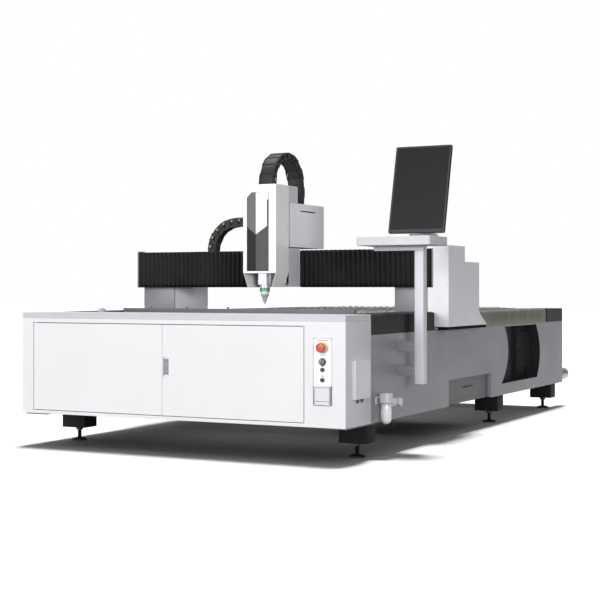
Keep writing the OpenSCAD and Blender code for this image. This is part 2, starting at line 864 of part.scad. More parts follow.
module y_bearing_blocks() color("lightgray") place() {
    both_sides() for (y = [leg_y0 + 25, leg_y1 - 25 - block_l]) difference() {
        block([rail_x - 42, y, deck_z + 12], [rail_x + 42, y + block_l, base_z0]);
        block([rail_x - rail_w / 2 - seat_gap, y - 1, deck_z],
              [rail_x + rail_w / 2 + seat_gap, y + block_l + 1, rail_top + seat_gap]);
    }
}

// A leg: a welded box on a base plate, open underneath for the drive
module leg(x0, x1, base_x1) {
    difference() {
        block([x0, leg_y0, base_z1], [x1, leg_y1, beam_z0]);
        block([x0 + tube_t, leg_y0 + tube_t, base_z1 - 1],
              [x1 - tube_t, leg_y1 - tube_t, beam_z0 - tube_t]);
    }
    difference() {
        block([x0, leg_y0, base_z0], [base_x1, leg_y1, base_z1]);
        bar_z([pinion_x, drive_y, base_z0 - 1], shaft_r + 8, base_t + 2);
    }
}

module gantry_legs() color("silver") place() {
    leg(leg_out_r - leg_w, leg_out_r, pinion_x + motor_w / 2);
    mirror([1, 0, 0]) leg(beam_left - leg_w, beam_left, beam_left);
}

module gantry_beam() color("gray") place() {
    difference() {
        block([-beam_left, beam_y0, beam_z0], [beam_right, beam_y1, beam_z1]);
        block([-beam_left - 1, beam_y0 + beam_t, beam_z0 + beam_t],
              [beam_right + 1, beam_y1 - beam_t, beam_z1 - beam_t]);
    }
    // End plates that hold the bellows' ends
    block([-beam_left, gantry_y, beam_z], [-beam_left + 8, beam_y0, bellows_z1 + 6]);
    block([beam_right - 8, gantry_y, beam_z], [beam_right, beam_y0, bellows_z1]);
    // Tray for the chain's lower run, welded along the beam's rear
    block([chain_tray_x0, beam_y1, beam_z0],
          [chain_tray_x1, chain_tray_y1, beam_z0 + chain_tray_t]);
    block([chain_tray_x0, chain_tray_y1 - chain_tray_t, beam_z0],
          [chain_tray_x1, chain_tray_y1, beam_z0 + 40]);
}

module x_rails() color("silver") place() {
    for (z = [x_rail_z0, x_rail_z1])
        block([-beam_left + 12, beam_y0 - x_rail_w, z - x_rail_w / 2],
              [beam_right - 12, beam_y0, z + x_rail_w / 2]);
    // Rack between the rails
    block([-beam_left + 12, beam_y0 - 22, (x_rail_z0 + x_rail_z1) / 2 - 12],
          [beam_right - 12, beam_y0, (x_rail_z0 + x_rail_z1) / 2 + 12]);
}

// Motor, gearbox and pinion of each side, as one closed drive
module y_drives() color([0.12, 0.12, 0.13]) place() {
    both_sides() translate([pinion_x, drive_y, 0]) {
        w = motor_w / 2;
        block([-w + 1, -w, base_z1], [w - 1, w, base_z1 + motor_h]);
        bar_z([0, 0, pinion_z], pinion_r, pinion_t);
        bar_z([0, 0, pinion_z + pinion_t], shaft_r, base_z1 - pinion_z - pinion_t);
    }
}

// Side view of the white drive cover, shrunk by m, as [Y, Z]
function cover_outline(m) = let (
    y0 = gantry_y + m, y1 = gantry_y + cover_d - m, ys = gantry_y + 307 - m,
    z0 = deck_z + 23 + m, z1 = bellows_z1 + 18 - m, zs = z1 - 104)
    [[y0, z0], [y1 + 160, z0], [y1, z0 + 88], [y1, zs], [ys, zs], [ys, z1], [y0, z1]];

module drive_cover() color("white") place() {
    low_x = leg_out_r + 6;
    difference() {
        union() {
            side_profile(cover_outline(0), beam_right + 2, cover_x);
            block([low_x, gantry_y, deck_z + 23], [beam_right + 3, leg_y0 - 2, beam_z - 1]);
        }
        side_profile(cover_outline(sheet), 0, cover_x - sheet);
        // Mouth underneath, for the pinion
        block([0, leg_y0 - 5, deck_z + 20], [pinion_x + pinion_r + 4, leg_y1 + 30, base_z0 + 10]);
        // Clearance over the rear bellows and their end box
        block([0, leg_y1 - 2, deck_z], [half + 1.5, leg_y1 + 400, bellows_top + 2]);
    }
}

// A C-shaped bellows over the beam's rails
module beam_bellows(x0, x1) {
    difference() {
        block([x0, gantry_y, beam_z], [x1, beam_y0 - seat_gap, bellows_z1]);
        block([x0 - 1, gantry_y + bellows_t, beam_z + bellows_t],
              [x1 + 1, beam_y0 + 1, bellows_z1 - bellows_t]);
    }
}

module left_beam_bellows() color([0.07, 0.07, 0.08]) place()
    beam_bellows(-beam_left + 8, -head_left);

module right_beam_bellows() color([0.07, 0.07, 0.08]) place()
    beam_bellows(head_right, beam_right - 8);

// ---- carriage and head ----

module x_carriage() color("darkgray") place() {
    // Plate in the gap between the two bellows
    block([-head_left, gantry_y, beam_z + 4], [head_right, gantry_y + 30, bellows_z1 - 4]);
    // Bearing blocks that straddle the beam's rails
    for (z = [x_rail_z0, x_rail_z1], x = [-head_left + 6, head_right - 86]) difference() {
        block([x, gantry_y + 30, z - 28], [x + 80, beam_y0 - 8, z + 28]);
        block([x - 1, beam_y0 - x_rail_w - seat_gap, z - x_rail_w / 2 - seat_gap],
              [x + 81, beam_y0, z + x_rail_w / 2 + seat_gap]);
    }
    // Bracket that carries the head in front and the saddle above
    block([-head_left + 20, head_y1, beam_z + 20], [head_right - 20, gantry_y, beam_z + 40]);
    block([-head_left + 20, head_y1, bellows_z1 - 40], [head_right - 20, gantry_y, bellows_z1 - 20]);
    block([-head_left + 20, head_y1 - 20, beam_z + 20], [head_right - 20, head_y1, saddle_top - 40]);
    // Cheeks that close the sides between the head's cover and the bellows
    for (x = [-head_left, head_right - head_t])
        block([x, head_y1 - 18, beam_z + 4], [x + head_t, gantry_y, bellows_z1 + 10]);
}

// Front view of the head's cover, shrunk by m, as [X, Z]
function head_outline(m) = [
    [-head_left + 34 + m, head_z - (m > 0 ? 1 : 0)], [head_right - 34 - m, head_z - (m > 0 ? 1 : 0)],
    [head_right - m, head_z + chamfer_h], [head_right - m, head_top - m],
    [-head_left + m, head_top - m], [-head_left + m, head_z + chamfer_h]];

module head_prism(m, y0, y1) {
    translate([0, y1, 0]) rotate([90, 0, 0])
        linear_extrude(height = y1 - y0) polygon(head_outline(m));
}

window_x0 = -head_left + 28;
window_x1 = head_right - 56;
window_z0 = head_z + 108;
window_z1 = head_top - 52;

module head_cover() color("white") place() {
    difference() {
        head_prism(0, head_y0, head_y1 - 20);
        head_prism(head_t, head_y0 + head_t, head_y1 - 19);
        // Open front below the window, for the cutting head
        block([-head_left + 6, head_y0 - 1, head_z - 2], [head_right - 6, head_y0 + 3, head_z + 94]);
        window_prism(0, head_y0 - 1, head_y0 + 3);
        // Slot for the head chain's front leg
        block([z_chain_x - z_chain_w / 2 - 4, head_y0 + 74, head_top - 4],
              [z_chain_x + z_chain_w / 2 + 4, head_y0 + 82 + z_link_h, head_top + 1]);
    }
}

// Window outline: a rectangle with its upper left corner cut off
module window_prism(gap, y0, y1) {
    translate([0, y1, 0]) rotate([90, 0, 0]) linear_extrude(height = y1 - y0)
        polygon([[window_x0 + gap, window_z0 + gap], [window_x1 - gap, window_z0 + gap],
                 [window_x1 - gap, window_z1 - gap], [window_x0 + 36, window_z1 - gap],
                 [window_x0 + gap, window_z1 - 36]]);
}

module head_window() color([0.12, 0.12, 0.13]) place() {
    window_prism(0, head_y0, head_y0 + 2);
    // Rim that holds the pane behind the cover
    difference() {
        window_prism(-8, head_y0 + 2, head_y0 + 6);
        window_prism(6, head_y0 + 1, head_y0 + 7);
    }
}

module saddle_cover() color("whitesmoke") place() {
    z0 = bellows_z1 + 17;
    hood_y = head_y1 - 18;
    difference() {
        union() {
            block([-head_left, head_y1, z0], [head_right, saddle_y1, saddle_top]);
            // Hood over the cables behind the head, open to the saddle below
            block([-head_left, hood_y, saddle_top - head_t],
                  [head_right, hood_y + hood_d, saddle_top + hood_h]);
        }
        block([-head_left + head_t, head_y1 - 1, z0 - 1],
              [head_right - head_t, saddle_y1 - head_t, saddle_top - head_t]);
        block([-head_left + head_t, hood_y + head_t, saddle_top - head_t - 1],
              [head_right - head_t, hood_y + hood_d - head_t, saddle_top + hood_h - head_t]);
        // Ventilation slot on the right side
        block([head_right - 3, head_y1 + 160, saddle_top - 55],
              [head_right + 1, head_y1 + 390, saddle_top - 47]);
        // Mouth for the cross chain at the left
        block([-head_left - 1, x_chain_y - 4, x_chain_top - link_h - 4],
              [-head_left + 3, x_chain_y + x_chain_w + 4, x_chain_top + 4]);
    }
}

// Motor and ball screw that lift the cutting head, and the rails it runs on
module z_drive() color([0.16, 0.16, 0.17]) place() {
    y = head_y1 - 20;
    for (x = [-40, 60]) block([x, y - 14, head_z + 60], [x + 12, y, head_top - 230]);
    block([screw_x - 32, y - 60, head_top - 200], [screw_x + 32, y, head_top - 190]);
    block([screw_x - 30, y - 90, head_top - 190], [screw_x + 30, y, head_top - 60]);
    bar_z([screw_x, y - 34, head_z + 80], screw_r, head_top - 200 - head_z - 79);
}

module z_slide() color("darkgray") place() {
    y = head_y1 - 20;
    difference() {
        block([screw_x - 26, y - 56, head_z + 110], [76, y - 14 - seat_gap, head_z + 300]);
        bar_z([screw_x, y - 34, head_z + 100], screw_r + seat_gap, 220);
    }
    // Arm that carries the cutting head
    block([-34, barrel_y, head_z + 110], [66, y - 56, head_z + 130]);
    // Anchor of the head chain's front leg
    block([z_chain_x - 30, z_chain_y - z_bend_r, head_z + 300], [z_chain_x + 30, y - 20, head_z + 304]);
}

module cutting_head() color("silver") place() {
    // Barrel, square optics body and collimator above it
    bar_z([barrel_x, barrel_y, tip_z + 92], barrel_r, head_z + 110 - tip_z - 92);
    block([-34, barrel_y + 4, head_z + 14], [66, barrel_y + 74, head_z + 110]);
    bar_z([barrel_x, barrel_y, head_z + 130], barrel_r - 6, 120);
    // Sensor ring above the nozzle
    bar_z([barrel_x, barrel_y, tip_z + 68], barrel_r - 3, 24);
}

module nozzle() color("orange") place() {
    difference() {
        union() {
            translate([barrel_x, barrel_y, tip_z + 40]) cylinder(r1 = 17, r2 = barrel_r - 5, h = 28);
            translate([barrel_x, barrel_y, tip_z]) cylinder(r1 = 4, r2 = 17, h = 40);
        }
        bar_z([barrel_x, barrel_y, tip_z - 1], 1.5, 70);
    }
}

// ---- cable chains ----

// Half a ring in the X-Z plane that opens towards +X, or in the Y-Z plane that opens down
module bend(r, w, h) {
    rotate([90, 0, 0]) rotate([0, 0, 90]) rotate_extrude(angle = 180)
        translate([r - h, -w]) square([h, w]);
}

module x_chain_bend() color([0.13, 0.13, 0.12]) place() {
    translate([x_bend_x, x_chain_y, x_chain_z0 + x_bend_r]) bend(x_bend_r, x_chain_w, link_h);
}

module x_chain_runs() color([0.13, 0.13, 0.12]) place() {
    y1 = x_chain_y + x_chain_w;
    block([x_bend_x, x_chain_y, x_chain_z0], [0, y1, x_chain_z0 + link_h]);
    block([x_bend_x, x_chain_y, x_chain_top - link_h], [-head_left + 20, y1, x_chain_top]);
}

module z_chain_bend() color([0.13, 0.13, 0.12]) place() {
    translate([z_chain_x + z_chain_w / 2, z_chain_y, z_bend_z]) rotate([0, 0, 90])
        rotate([0, 90, 0]) bend(z_bend_r, z_chain_w, z_link_h);
}

module z_chain_runs() color([0.13, 0.13, 0.12]) place() {
    x0 = z_chain_x - z_chain_w / 2;
    x1 = z_chain_x + z_chain_w / 2;
    y0 = z_chain_y - z_bend_r;
    y1 = z_chain_y + z_bend_r;
    block([x0, y0, head_z + 304], [x1, y0 + z_link_h, z_bend_z]);
    block([x0, y1 - z_link_h, saddle_top], [x1, y1, z_bend_z]);
}

// ---- air preparation ----

module filter_body() color("gainsboro") place() {
    // Bracket, filter head and the valve's body beside it
    difference() {
        union() {
            block([half, air_y - 45, bed_z + 150], [air_x - 30, air_y + 45, bed_z + 156]);
            block([half, air_y - 45, bed_z + 110], [half + 5, air_y + 45, bed_z + 156]);
            block([air_x - 34, air_y - 42, bed_z + 115], [air_x + 34, air_y + 42, bed_z + 175]);
            block([air_x - 26, air_y + 42, bed_z + 84], [air_x + 26, valve_y + 80, bed_z + 144]);
        }
        // Threaded air inlet at the rear end
        bar_y([air_x, valve_y + 40, bed_z + 114], 10.5, 41);
        // Seat of the valve's spindle
        bar_x([air_x, valve_y, bed_z + 114], 5 + fit, 27);
    }
}

module filter_bowl() color("white") place() {
    bar_z([air_x, air_y, bed_z + 22], 32, 93);
    translate([air_x, air_y, bed_z + 22]) sphere(r = 32);
}

module air_valve_knob() color([0.75, 0.78, 0.8]) place() {
    bar_x([air_x + 10, valve_y, bed_z + 114], 5, 20);
    bar_x([air_x + 27, valve_y, bed_z + 114], 26, 18);
}

// ---- console ----

module console_post() color("lightsteelblue") place() {
    x1 = post_x + post_w;
    difference() {
        block([post_x, post_y, post_z0], [x1, post_y + post_w, post_z1]);
        block([post_x + 3, post_y + 3, post_z0 - 1], [x1 - 3, post_y + post_w - 3, post_z1 - 3]);
    }
    // Stand-off brackets to the bed's side
    for (z = [post_z0 + 50, deck_z - 110])
        difference() {
            block([half, post_y, z], [post_x, post_y + post_w, z + 60]);
            block([half - 1, post_y + 4, z + 4], [post_x - 4, post_y + post_w + 1, z + 56]);
        }
    // Arm under the tray
    block([tray_x0 + 60, post_y, post_z1], [x1, post_y + post_w, tray_z0]);
}

module console_tray() color("white") place() {
    difference() {
        block([tray_x0, tray_y0, tray_z0], [tray_x0 + tray_w, tray_y0 + tray_d, tray_z0 + tray_h]);
        block([tray_x0 + 3, tray_y0 + 3, tray_z0 + tray_h - 20],
              [tray_x0 + tray_w - 3, tray_y0 + tray_d - 3, tray_z0 + tray_h + 1]);
        block([tray_x0 + 3, tray_y0 + 3, tray_z0 + 3],
              [tray_x0 + tray_w - 3, tray_y0 + tray_d + 1, tray_z0 + tray_h - 23]);
    }
}

module monitor_stand() color("dimgray") place() {
    z0 = tray_z0 + tray_h - 20;
    block([monitor_x - 90, tilt_y - 75, z0], [monitor_x + 90, tilt_y + 45, z0 + 8]);
    block([monitor_x - 30, tilt_y + 20, z0], [monitor_x + 30, tilt_y + 36, tilt_z - 22]);
    // Fork that holds the tilt pin
    for (x = [monitor_x - 30, monitor_x + 18]) difference() {
        block([x, tilt_y - 14, tilt_z - 42], [x + 12, tilt_y + 36, tilt_z + 14]);
        bar_x([x - 1, tilt_y, tilt_z], tilt_pin_r + fit, 14);
    }
}

// Moves what is drawn in the monitor's own axes to its leaning place
module at_monitor() {
    translate([monitor_x, tilt_y, tilt_z]) rotate([-monitor_lean, 0, 0]) children();
}

monitor_t = 34;
monitor_gap = 28;

module monitor_case() color([0.1, 0.1, 0.11]) place() at_monitor() {
    w = monitor_w / 2;
    z0 = -monitor_h / 2 + 20;
    y0 = -monitor_gap - monitor_t;
    difference() {
        block([-w, y0, z0], [w, -monitor_gap, z0 + monitor_h]);
        block([-w + 14, y0 - 1, z0 + 22], [w - 14, y0 + 4, z0 + monitor_h - 14]);
    }
    // Lug on the back, with the tilt pin through it
    block([-16, -monitor_gap - 1, -12], [16, 0, 12]);
    bar_x([-30, 0, 0], tilt_pin_r, 60);
}

module monitor_screen() color([0.05, 0.05, 0.06]) place() at_monitor() {
    w = monitor_w / 2 - 14;
    z0 = -monitor_h / 2 + 20;
    y0 = -monitor_gap - monitor_t;
    block([-w, y0 + 1, z0 + 22], [w, y0 + 4, z0 + monitor_h - 14]);
}

bed_frame();
front_cabinet();
cabinet_lid();
door_pivots();
laser_source();
drive_rack();
control_plate();
switch_collars();
socket_box();
junction_box();
left_side_panel();
right_side_panel();
recess_liner();
rear_panel();
exhaust_spigot();
levelling_feet();
slat_frame();
slats();
y_rails();
y_racks();
bellows_end_boxes();
filter_body();
filter_bowl();
console_post();
console_tray();
monitor_stand();
front_bellows();
rear_bellows();
left_door();
right_door();
latch_paddle();
estop_button();
mode_knob();
start_button();
stop_button();
socket_flap();
slag_drawer();
air_valve_knob();
monitor_case();
monitor_screen();
gantry_beam();
gantry_legs();
drive_cover();
y_bearing_blocks();
y_drives();
x_rails();
left_beam_bellows();
right_beam_bellows();
x_chain_runs();
x_chain_bend();
x_carriage();
head_cover();
head_window();
saddle_cover();
z_drive();
z_chain_runs();
z_chain_bend();
z_slide();
cutting_head();
nozzle();
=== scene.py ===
import math
import random
import bpy
import bmesh
from mathutils import Matrix, Vector
from mathutils.geometry import tessellate_polygon


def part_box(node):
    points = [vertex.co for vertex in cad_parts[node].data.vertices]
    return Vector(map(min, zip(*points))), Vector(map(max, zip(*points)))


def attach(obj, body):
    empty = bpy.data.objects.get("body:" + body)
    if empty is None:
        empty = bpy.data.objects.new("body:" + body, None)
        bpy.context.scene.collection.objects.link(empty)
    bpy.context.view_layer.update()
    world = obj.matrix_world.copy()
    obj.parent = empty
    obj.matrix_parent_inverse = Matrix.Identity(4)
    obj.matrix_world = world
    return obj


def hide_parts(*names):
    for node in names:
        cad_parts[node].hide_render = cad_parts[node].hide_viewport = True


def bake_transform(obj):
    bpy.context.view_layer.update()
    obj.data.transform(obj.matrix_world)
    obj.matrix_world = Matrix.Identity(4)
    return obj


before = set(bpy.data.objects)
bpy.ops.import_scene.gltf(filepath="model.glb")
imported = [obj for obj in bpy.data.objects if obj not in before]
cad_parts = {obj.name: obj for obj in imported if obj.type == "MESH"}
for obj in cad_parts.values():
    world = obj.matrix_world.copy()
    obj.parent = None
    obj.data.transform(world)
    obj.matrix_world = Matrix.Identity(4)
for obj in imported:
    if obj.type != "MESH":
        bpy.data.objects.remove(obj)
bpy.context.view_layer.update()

# Camera, light and floor. The machine's own axes start at the middle of the
# cabinet's front, on the floor, and all sizes below are in millimetres on them.
cabinet_low, cabinet_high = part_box("front_cabinet")
home = Vector(((cabinet_low.x + cabinet_high.x) / 2, cabinet_low.y, 0.0))
scene = bpy.context.scene
scene.view_settings.view_transform = "Standard"


def spot(x, y, z):
    return home + Vector((x, y, z)) / 1000


def linear(code):
    parts = [int(code[i:i + 2], 16) / 255 for i in (1, 3, 5)]
    return tuple(c / 12.92 if c <= 0.04045 else ((c + 0.055) / 1.055) ** 2.4 for c in parts) + (1.0,)


def add_node(tree, kind, settings=None, links=None):
    made = tree.nodes.new(kind)
    for key, value in (settings or {}).items():
        if isinstance(key, str) and hasattr(made, key):
            setattr(made, key, value)
        else:
            made.inputs[key].default_value = value
    for key, source in (links or {}).items():
        tree.links.new(source, made.inputs[key])
    return made


camera = bpy.data.objects.new("camera", bpy.data.cameras.new("camera"))
scene.collection.objects.link(camera)
camera.location = spot(4378, -6874, 1009)
camera.rotation_euler = (math.radians(90), 0, math.radians(27.1))
camera.data.lens = 80.46
camera.data.shift_y = -0.0183
camera.data.clip_end = 200
scene.camera = camera

for name, place, size, power in (("key_sun", (-3500, 1200, 9300), 35, 2.6),
        ("front_sun", (-2500, -8800, 1200), 30, 2.05), ("side_sun", (7000, -7100, 700), 20, 2.0),
        ("floor_sun", (-200, 1400, 9900), 12, 6.3)):
    lamp = bpy.data.objects.new(name, bpy.data.lights.new(name, "SUN"))
    scene.collection.objects.link(lamp)
    lamp.data.angle = math.radians(size)
    lamp.data.energy = power
    lamp.location = spot(*place)
    lamp.rotation_euler = (lamp.location - spot(0, 0, 0)).to_track_quat("Z", "Y").to_euler()

# The studio's ceiling glows softly over dim walls, and its backdrop is white
studio = bpy.data.worlds.new("studio")
scene.world = studio
studio.use_nodes = True
walls = studio.node_tree
height = add_node(walls, "ShaderNodeSeparateXYZ", None, {0: add_node(walls,
    "ShaderNodeTexCoord").outputs["Generated"]})
ceiling = add_node(walls, "ShaderNodeMapRange", {"From Min": -0.3, "From Max": 0.8,
    "interpolation_type": "SMOOTHSTEP"}, {"Value": height.outputs["Z"]})
wall_tone = add_node(walls, "ShaderNodeMix", {"data_type": "RGBA", 6: (0.02, 0.02, 0.02, 1.0),
    7: (0.48, 0.48, 0.5, 1.0)}, {0: ceiling.outputs[0]})
backdrop = add_node(walls, "ShaderNodeMix", {"data_type": "RGBA", 7: (1.0, 1.0, 1.0, 1.0)},
    {0: add_node(walls, "ShaderNodeLightPath").outputs["Is Camera Ray"], 6: wall_tone.outputs[2]})
walls.links.new(backdrop.outputs[2], walls.nodes["Background"].inputs["Color"])

floor_mesh = bpy.data.meshes.new("studio_floor")
floor_mesh.from_pydata([(-60, -60, 0), (60, -60, 0), (60, 60, 0), (-60, 60, 0)], [], [(0, 1, 2, 3)])
studio_floor = bpy.data.objects.new("studio_floor", floor_mesh)
scene.collection.objects.link(studio_floor)
# Matt floor paint: nearly white, with clouds that can only just be seen
floor_paint = bpy.data.materials.new("matt_floor_paint")
floor_paint.use_nodes = True
floor_tree = floor_paint.node_tree
floor_tone = add_node(floor_tree, "ShaderNodeTexNoise", {"Scale": 0.6, "Detail": 3.0})
floor_mix = add_node(floor_tree, "ShaderNodeMix", {"data_type": "RGBA", 6: linear("#c2c2c2"),
    7: linear("#c9c9c9")}, {0: floor_tone.outputs[0]})
floor_tree.links.new(floor_mix.outputs[2], floor_tree.nodes["Principled BSDF"].inputs["Base Color"])
floor_tree.nodes["Principled BSDF"].inputs["Roughness"].default_value = 0.9
floor_tree.nodes["Principled BSDF"].inputs["Specular IOR Level"].default_value = 0.1
floor_mesh.materials.append(floor_paint)
studio_floor.visible_diffuse = False

# A lighting flag just under the bed keeps the light that falls through the open
# slat table off the floor; only shadows see it
flag_mesh = bpy.data.meshes.new("shadow_flag")
flag_mesh.from_pydata([spot(x, y, 200) for x, y in ((-1140, 10), (1140, 10), (1140, 4350), (-1140, 4350))],
    [], [(0, 1, 2, 3)])
flag_mesh.materials.append(floor_paint)
shadow_flag = bpy.data.objects.new("shadow_flag", flag_mesh)
scene.collection.objects.link(shadow_flag)
for seen_by in ("camera", "diffuse", "glossy", "transmission"):
    setattr(shadow_flag, "visible_" + seen_by, False)

# The floor has a sun of its own and the others leave it out, so that the shadow
# under the machine stays deep
for receivers, state, suns in (("lit_by_floor_sun", "INCLUDE", ("floor_sun",)),
        ("left_out_by_the_rest", "EXCLUDE", ("key_sun", "front_sun", "side_sun"))):
    receiving = bpy.data.collections.new(receivers)
    receiving.objects.link(studio_floor)
    receiving.collection_objects[0].light_linking.link_state = state
    for sun in suns:
        bpy.data.objects[sun].light_linking.receiver_collection = receiving

# Bed frame. Square and rectangular steel tubes with rounded corners, welded up,
# stress relieved and painted dark grey, with the deck plates machined on top.


def finish(name, colour, dulled, edge_wear_and_light, roughness, spread=0.08, metallic=0.0, grain=1.5, depth=0.02, patch=300,
        tone=0.5, edge_wear_and_light_share=0.4, run=(1, 1, 1), specular=0.5, coat=0.0):
    """A procedural surface: tone in patches, a fine grain and lighter or darker edges; the edge colour is
    wear on some finishes and a painted highlight or sheen on others.

    grain, depth and patch are in millimetres, and run stretches the grain along an axis."""
    made = bpy.data.materials.new(name)
    made.use_nodes = True
    tree = made.node_tree
    shader = tree.nodes["Principled BSDF"]
    place = add_node(tree, "ShaderNodeMapping", {"Scale": run},
        {"Vector": add_node(tree, "ShaderNodeTexCoord").outputs["Object"]})
    patches = add_node(tree, "ShaderNodeTexNoise", {"Scale": 1000 / patch, "Detail": 5.0},
        {"Vector": place.outputs[0]})
    fine = add_node(tree, "ShaderNodeTexNoise", {"Scale": 1000 / grain, "Detail": 2.0},
        {"Vector": place.outputs[0]})
    strength = add_node(tree, "ShaderNodeMapRange", {"From Min": 0.35, "From Max": 0.75, "To Max": tone},
        {"Value": patches.outputs[0]})
    toned = add_node(tree, "ShaderNodeMix", {"data_type": "RGBA", 6: linear(colour), 7: linear(dulled)},
        {0: strength.outputs[0]})
    # Convex edges take the edge colour: rubbed wear on some finishes, a painted highlight on others
    edges = add_node(tree, "ShaderNodeMapRange", {"From Min": 0.53, "From Max": 0.62, "To Max": edge_wear_and_light_share},
        {"Value": add_node(tree, "ShaderNodeNewGeometry").outputs["Pointiness"]})
    edges_worn_and_lit = add_node(tree, "ShaderNodeMix", {"data_type": "RGBA", 7: linear(edge_wear_and_light)},
        {0: edges.outputs[0], 6: toned.outputs[2]})
    gloss = add_node(tree, "ShaderNodeMapRange", {"To Min": roughness - spread, "To Max": roughness + spread},
        {"Value": patches.outputs[0]})
    relief = add_node(tree, "ShaderNodeBump", {"Strength": 0.6, "Distance": depth / 1000},
        {"Height": fine.outputs[0]})
    for socket, source in (("Base Color", edges_worn_and_lit.outputs[2]), ("Roughness", gloss.outputs[0]),
            ("Normal", relief.outputs[0])):
        tree.links.new(source, shader.inputs[socket])
    for socket, value in (("Metallic", metallic), ("Specular IOR Level", specular), ("Coat Weight", coat)):
        shader.inputs[socket].default_value = value
    return made


# The bench holds the mesh that is being drawn
bench = bmesh.new()


def slab(low, high, edge=1.0, steps=2):
    """A block between two opposite corners, with rounded edges."""
    low, high = zip(*(sorted(pair) for pair in zip(low, high)))
    size = [high[i] - low[i] for i in range(3)]
    corners = bmesh.ops.create_cube(bench, size=1.0)["verts"]
    for corner in corners:
        corner.co = Vector([low[i] + (corner.co[i] + 0.5) * size[i] for i in range(3)])
    if edge:
        rims = list(dict.fromkeys(rim for corner in corners for rim in corner.link_edges))
        bmesh.ops.bevel(bench, geom=rims, offset=min(edge, 0.4 * min(size)), segments=steps, affect="EDGES",
            profile=0.5)


def moved_left(ring, distance):
    """The ring's points moved to the left of its direction of travel."""
    out = []
    for i, here in enumerate(ring):
        a, b = Vector(ring[i - 1]), Vector(ring[(i + 1) % len(ring)])
        one, two = (Vector(here) - a).normalized(), (b - Vector(here)).normalized()
        side = Vector((-(one.y + two.y), one.x + two.x))
        side = side.normalized() if side.length > 1e-6 else Vector((-one.y, one.x))
        reach = distance / max(0.3, side.dot(Vector((-one.y, one.x))))
        out.append((here[0] + side.x * reach, here[1] + side.y * reach))
    return out


def cut_plate(outline, low, high, axis, edge=0.8, holes=()):
    """A plate with holes, cut to an outline and eased all round its edges.

    The outline is in the other two axes, in X, Y, Z order, and low and high are along the axis."""
    rings = []
    for k, ring in enumerate((outline, *holes)):
        area = sum(ring[i - 1][0] * ring[i][1] - ring[i][0] * ring[i - 1][1] for i in range(len(ring)))
        rings.append(list(ring) if (area > 0) == (k == 0) else list(ring)[::-1])
    low, high = sorted((low, high))
    edge = min(edge, 0.4 * (high - low))
    others = [i for i in range(3) if i != "xyz".index(axis)]

    def corner(p, level):
        co = Vector((0, 0, 0))
        co[others[0]], co[others[1]] = p
        co["xyz".index(axis)] = level
        return bench.verts.new(co)
    caps = ([], [])
    for ring in rings:
        eased = moved_left(ring, edge)
        stack = [[corner(p, z) for p in points] for points, z in ((eased, low), (ring, low + edge),
            (ring, high - edge), (eased, high))]
        for below, above in zip(stack, stack[1:]):
            for i in range(len(ring)):
                bench.faces.new((below[i - 1], below[i], above[i], above[i - 1]))
        caps[0].append(stack[0])
        caps[1].append(stack[3])
    for cap in caps:
        flat = [v for ring in cap for v in ring]
        points = [[Vector((v.co[others[0]], v.co[others[1]], 0)) for v in ring] for ring in cap]
        for tri in tessellate_polygon(points):
            bench.faces.new([flat[i] for i in tri])


def rounded(x0, y0, x1, y1, r, steps=4):
    """A rectangle's outline with round corners."""
    out = []
    for cx, cy, turn in ((x1 - r, y0 + r, -90), (x1 - r, y1 - r, 0), (x0 + r, y1 - r, 90),
            (x0 + r, y0 + r, 180)):
        for i in range(steps + 1):
            angle = math.radians(turn + 90 * i / steps)
            out.append((cx + r * math.cos(angle), cy + r * math.sin(angle)))
    return out


def oblong(x0, y0, x1, y1):
    return [(x0, y0), (x1, y0), (x1, y1), (x0, y1)]


def circle(x, y, r, steps=24):
    return [(x + r * math.cos(2 * math.pi * i / steps), y + r * math.sin(2 * math.pi * i / steps))
        for i in range(steps)]


def tube(low, high, axis, wall=8, corner=10):
    """A rectangular tube with rounded corners, open at its ends."""
    low, high = zip(*(sorted(pair) for pair in zip(low, high)))
    i, j = [k for k in range(3) if k != "xyz".index(axis)]
    k = "xyz".index(axis)
    cut_plate(rounded(low[i], low[j], high[i], high[j], corner), low[k], high[k], axis, 1.0,
        [rounded(low[i] + wall, low[j] + wall, high[i] - wall, high[j] - wall, corner * 0.6)])


def turned(profile, base, axis="z", steps=40, flip=1):
    """A turned shape: (radius, distance) pairs along an axis from its base."""
    k = "xyz".index(axis)
    i, j = [(1, 2), (2, 0), (0, 1)][k]
    rings = []
    for radius, along in profile:
        ring = []
        for s in range(1 if radius < 1e-6 else steps):
            co = Vector(base)
            co[k] += along * flip
            co[i] += radius * math.cos(2 * math.pi * s / steps)
            co[j] += radius * math.sin(2 * math.pi * s / steps)
            ring.append(bench.verts.new(co))
        rings.append(ring)
    for one, two in zip(rings, rings[1:]):
        for s in range(steps):
            quad = [one[s % len(one)], one[(s + 1) % steps % len(one)], two[(s + 1) % steps % len(two)],
                two[s % len(two)]]
            quad = [v for n, v in enumerate(quad) if v not in quad[:n]]
            if len(quad) > 2:
                bench.faces.new(quad)


def screws(places, axis, flip=1, r=5.0):
    """Button-head screws with a hexagon socket, standing on a face."""
    for place in places:
        turned([(0, 0), (r, 0), (r, 0.2 * r), (0.88 * r, 0.42 * r), (0.6 * r, 0.56 * r), (0.42 * r, 0.58 * r),
            (0.4 * r, 0.2 * r), (0, 0.2 * r)], place, axis, 12, flip)


def piece(name, material, body=None, node=None, angle=32):
    """Lifts what is drawn off the bench as a piece, from the machine's millimetres to the frame's metres.

    The piece rides on a body and hides the CAD node that it stands for, if they are given."""
    bmesh.ops.recalc_face_normals(bench, faces=bench.faces)
    bmesh.ops.transform(bench, matrix=Matrix.Translation(home) @ Matrix.Scale(0.001, 4), verts=bench.verts)
    mesh = bpy.data.meshes.new(name)
    bench.to_mesh(mesh)
    bench.clear()
    mesh.materials.append(material)
    mesh.shade_smooth()
    mesh.set_sharp_from_angle(angle=math.radians(angle))
    made = bpy.data.objects.new(name, mesh)
    scene.collection.objects.link(made)
    if body:
        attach(made, body)
    if node:
        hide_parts(node)
    return made


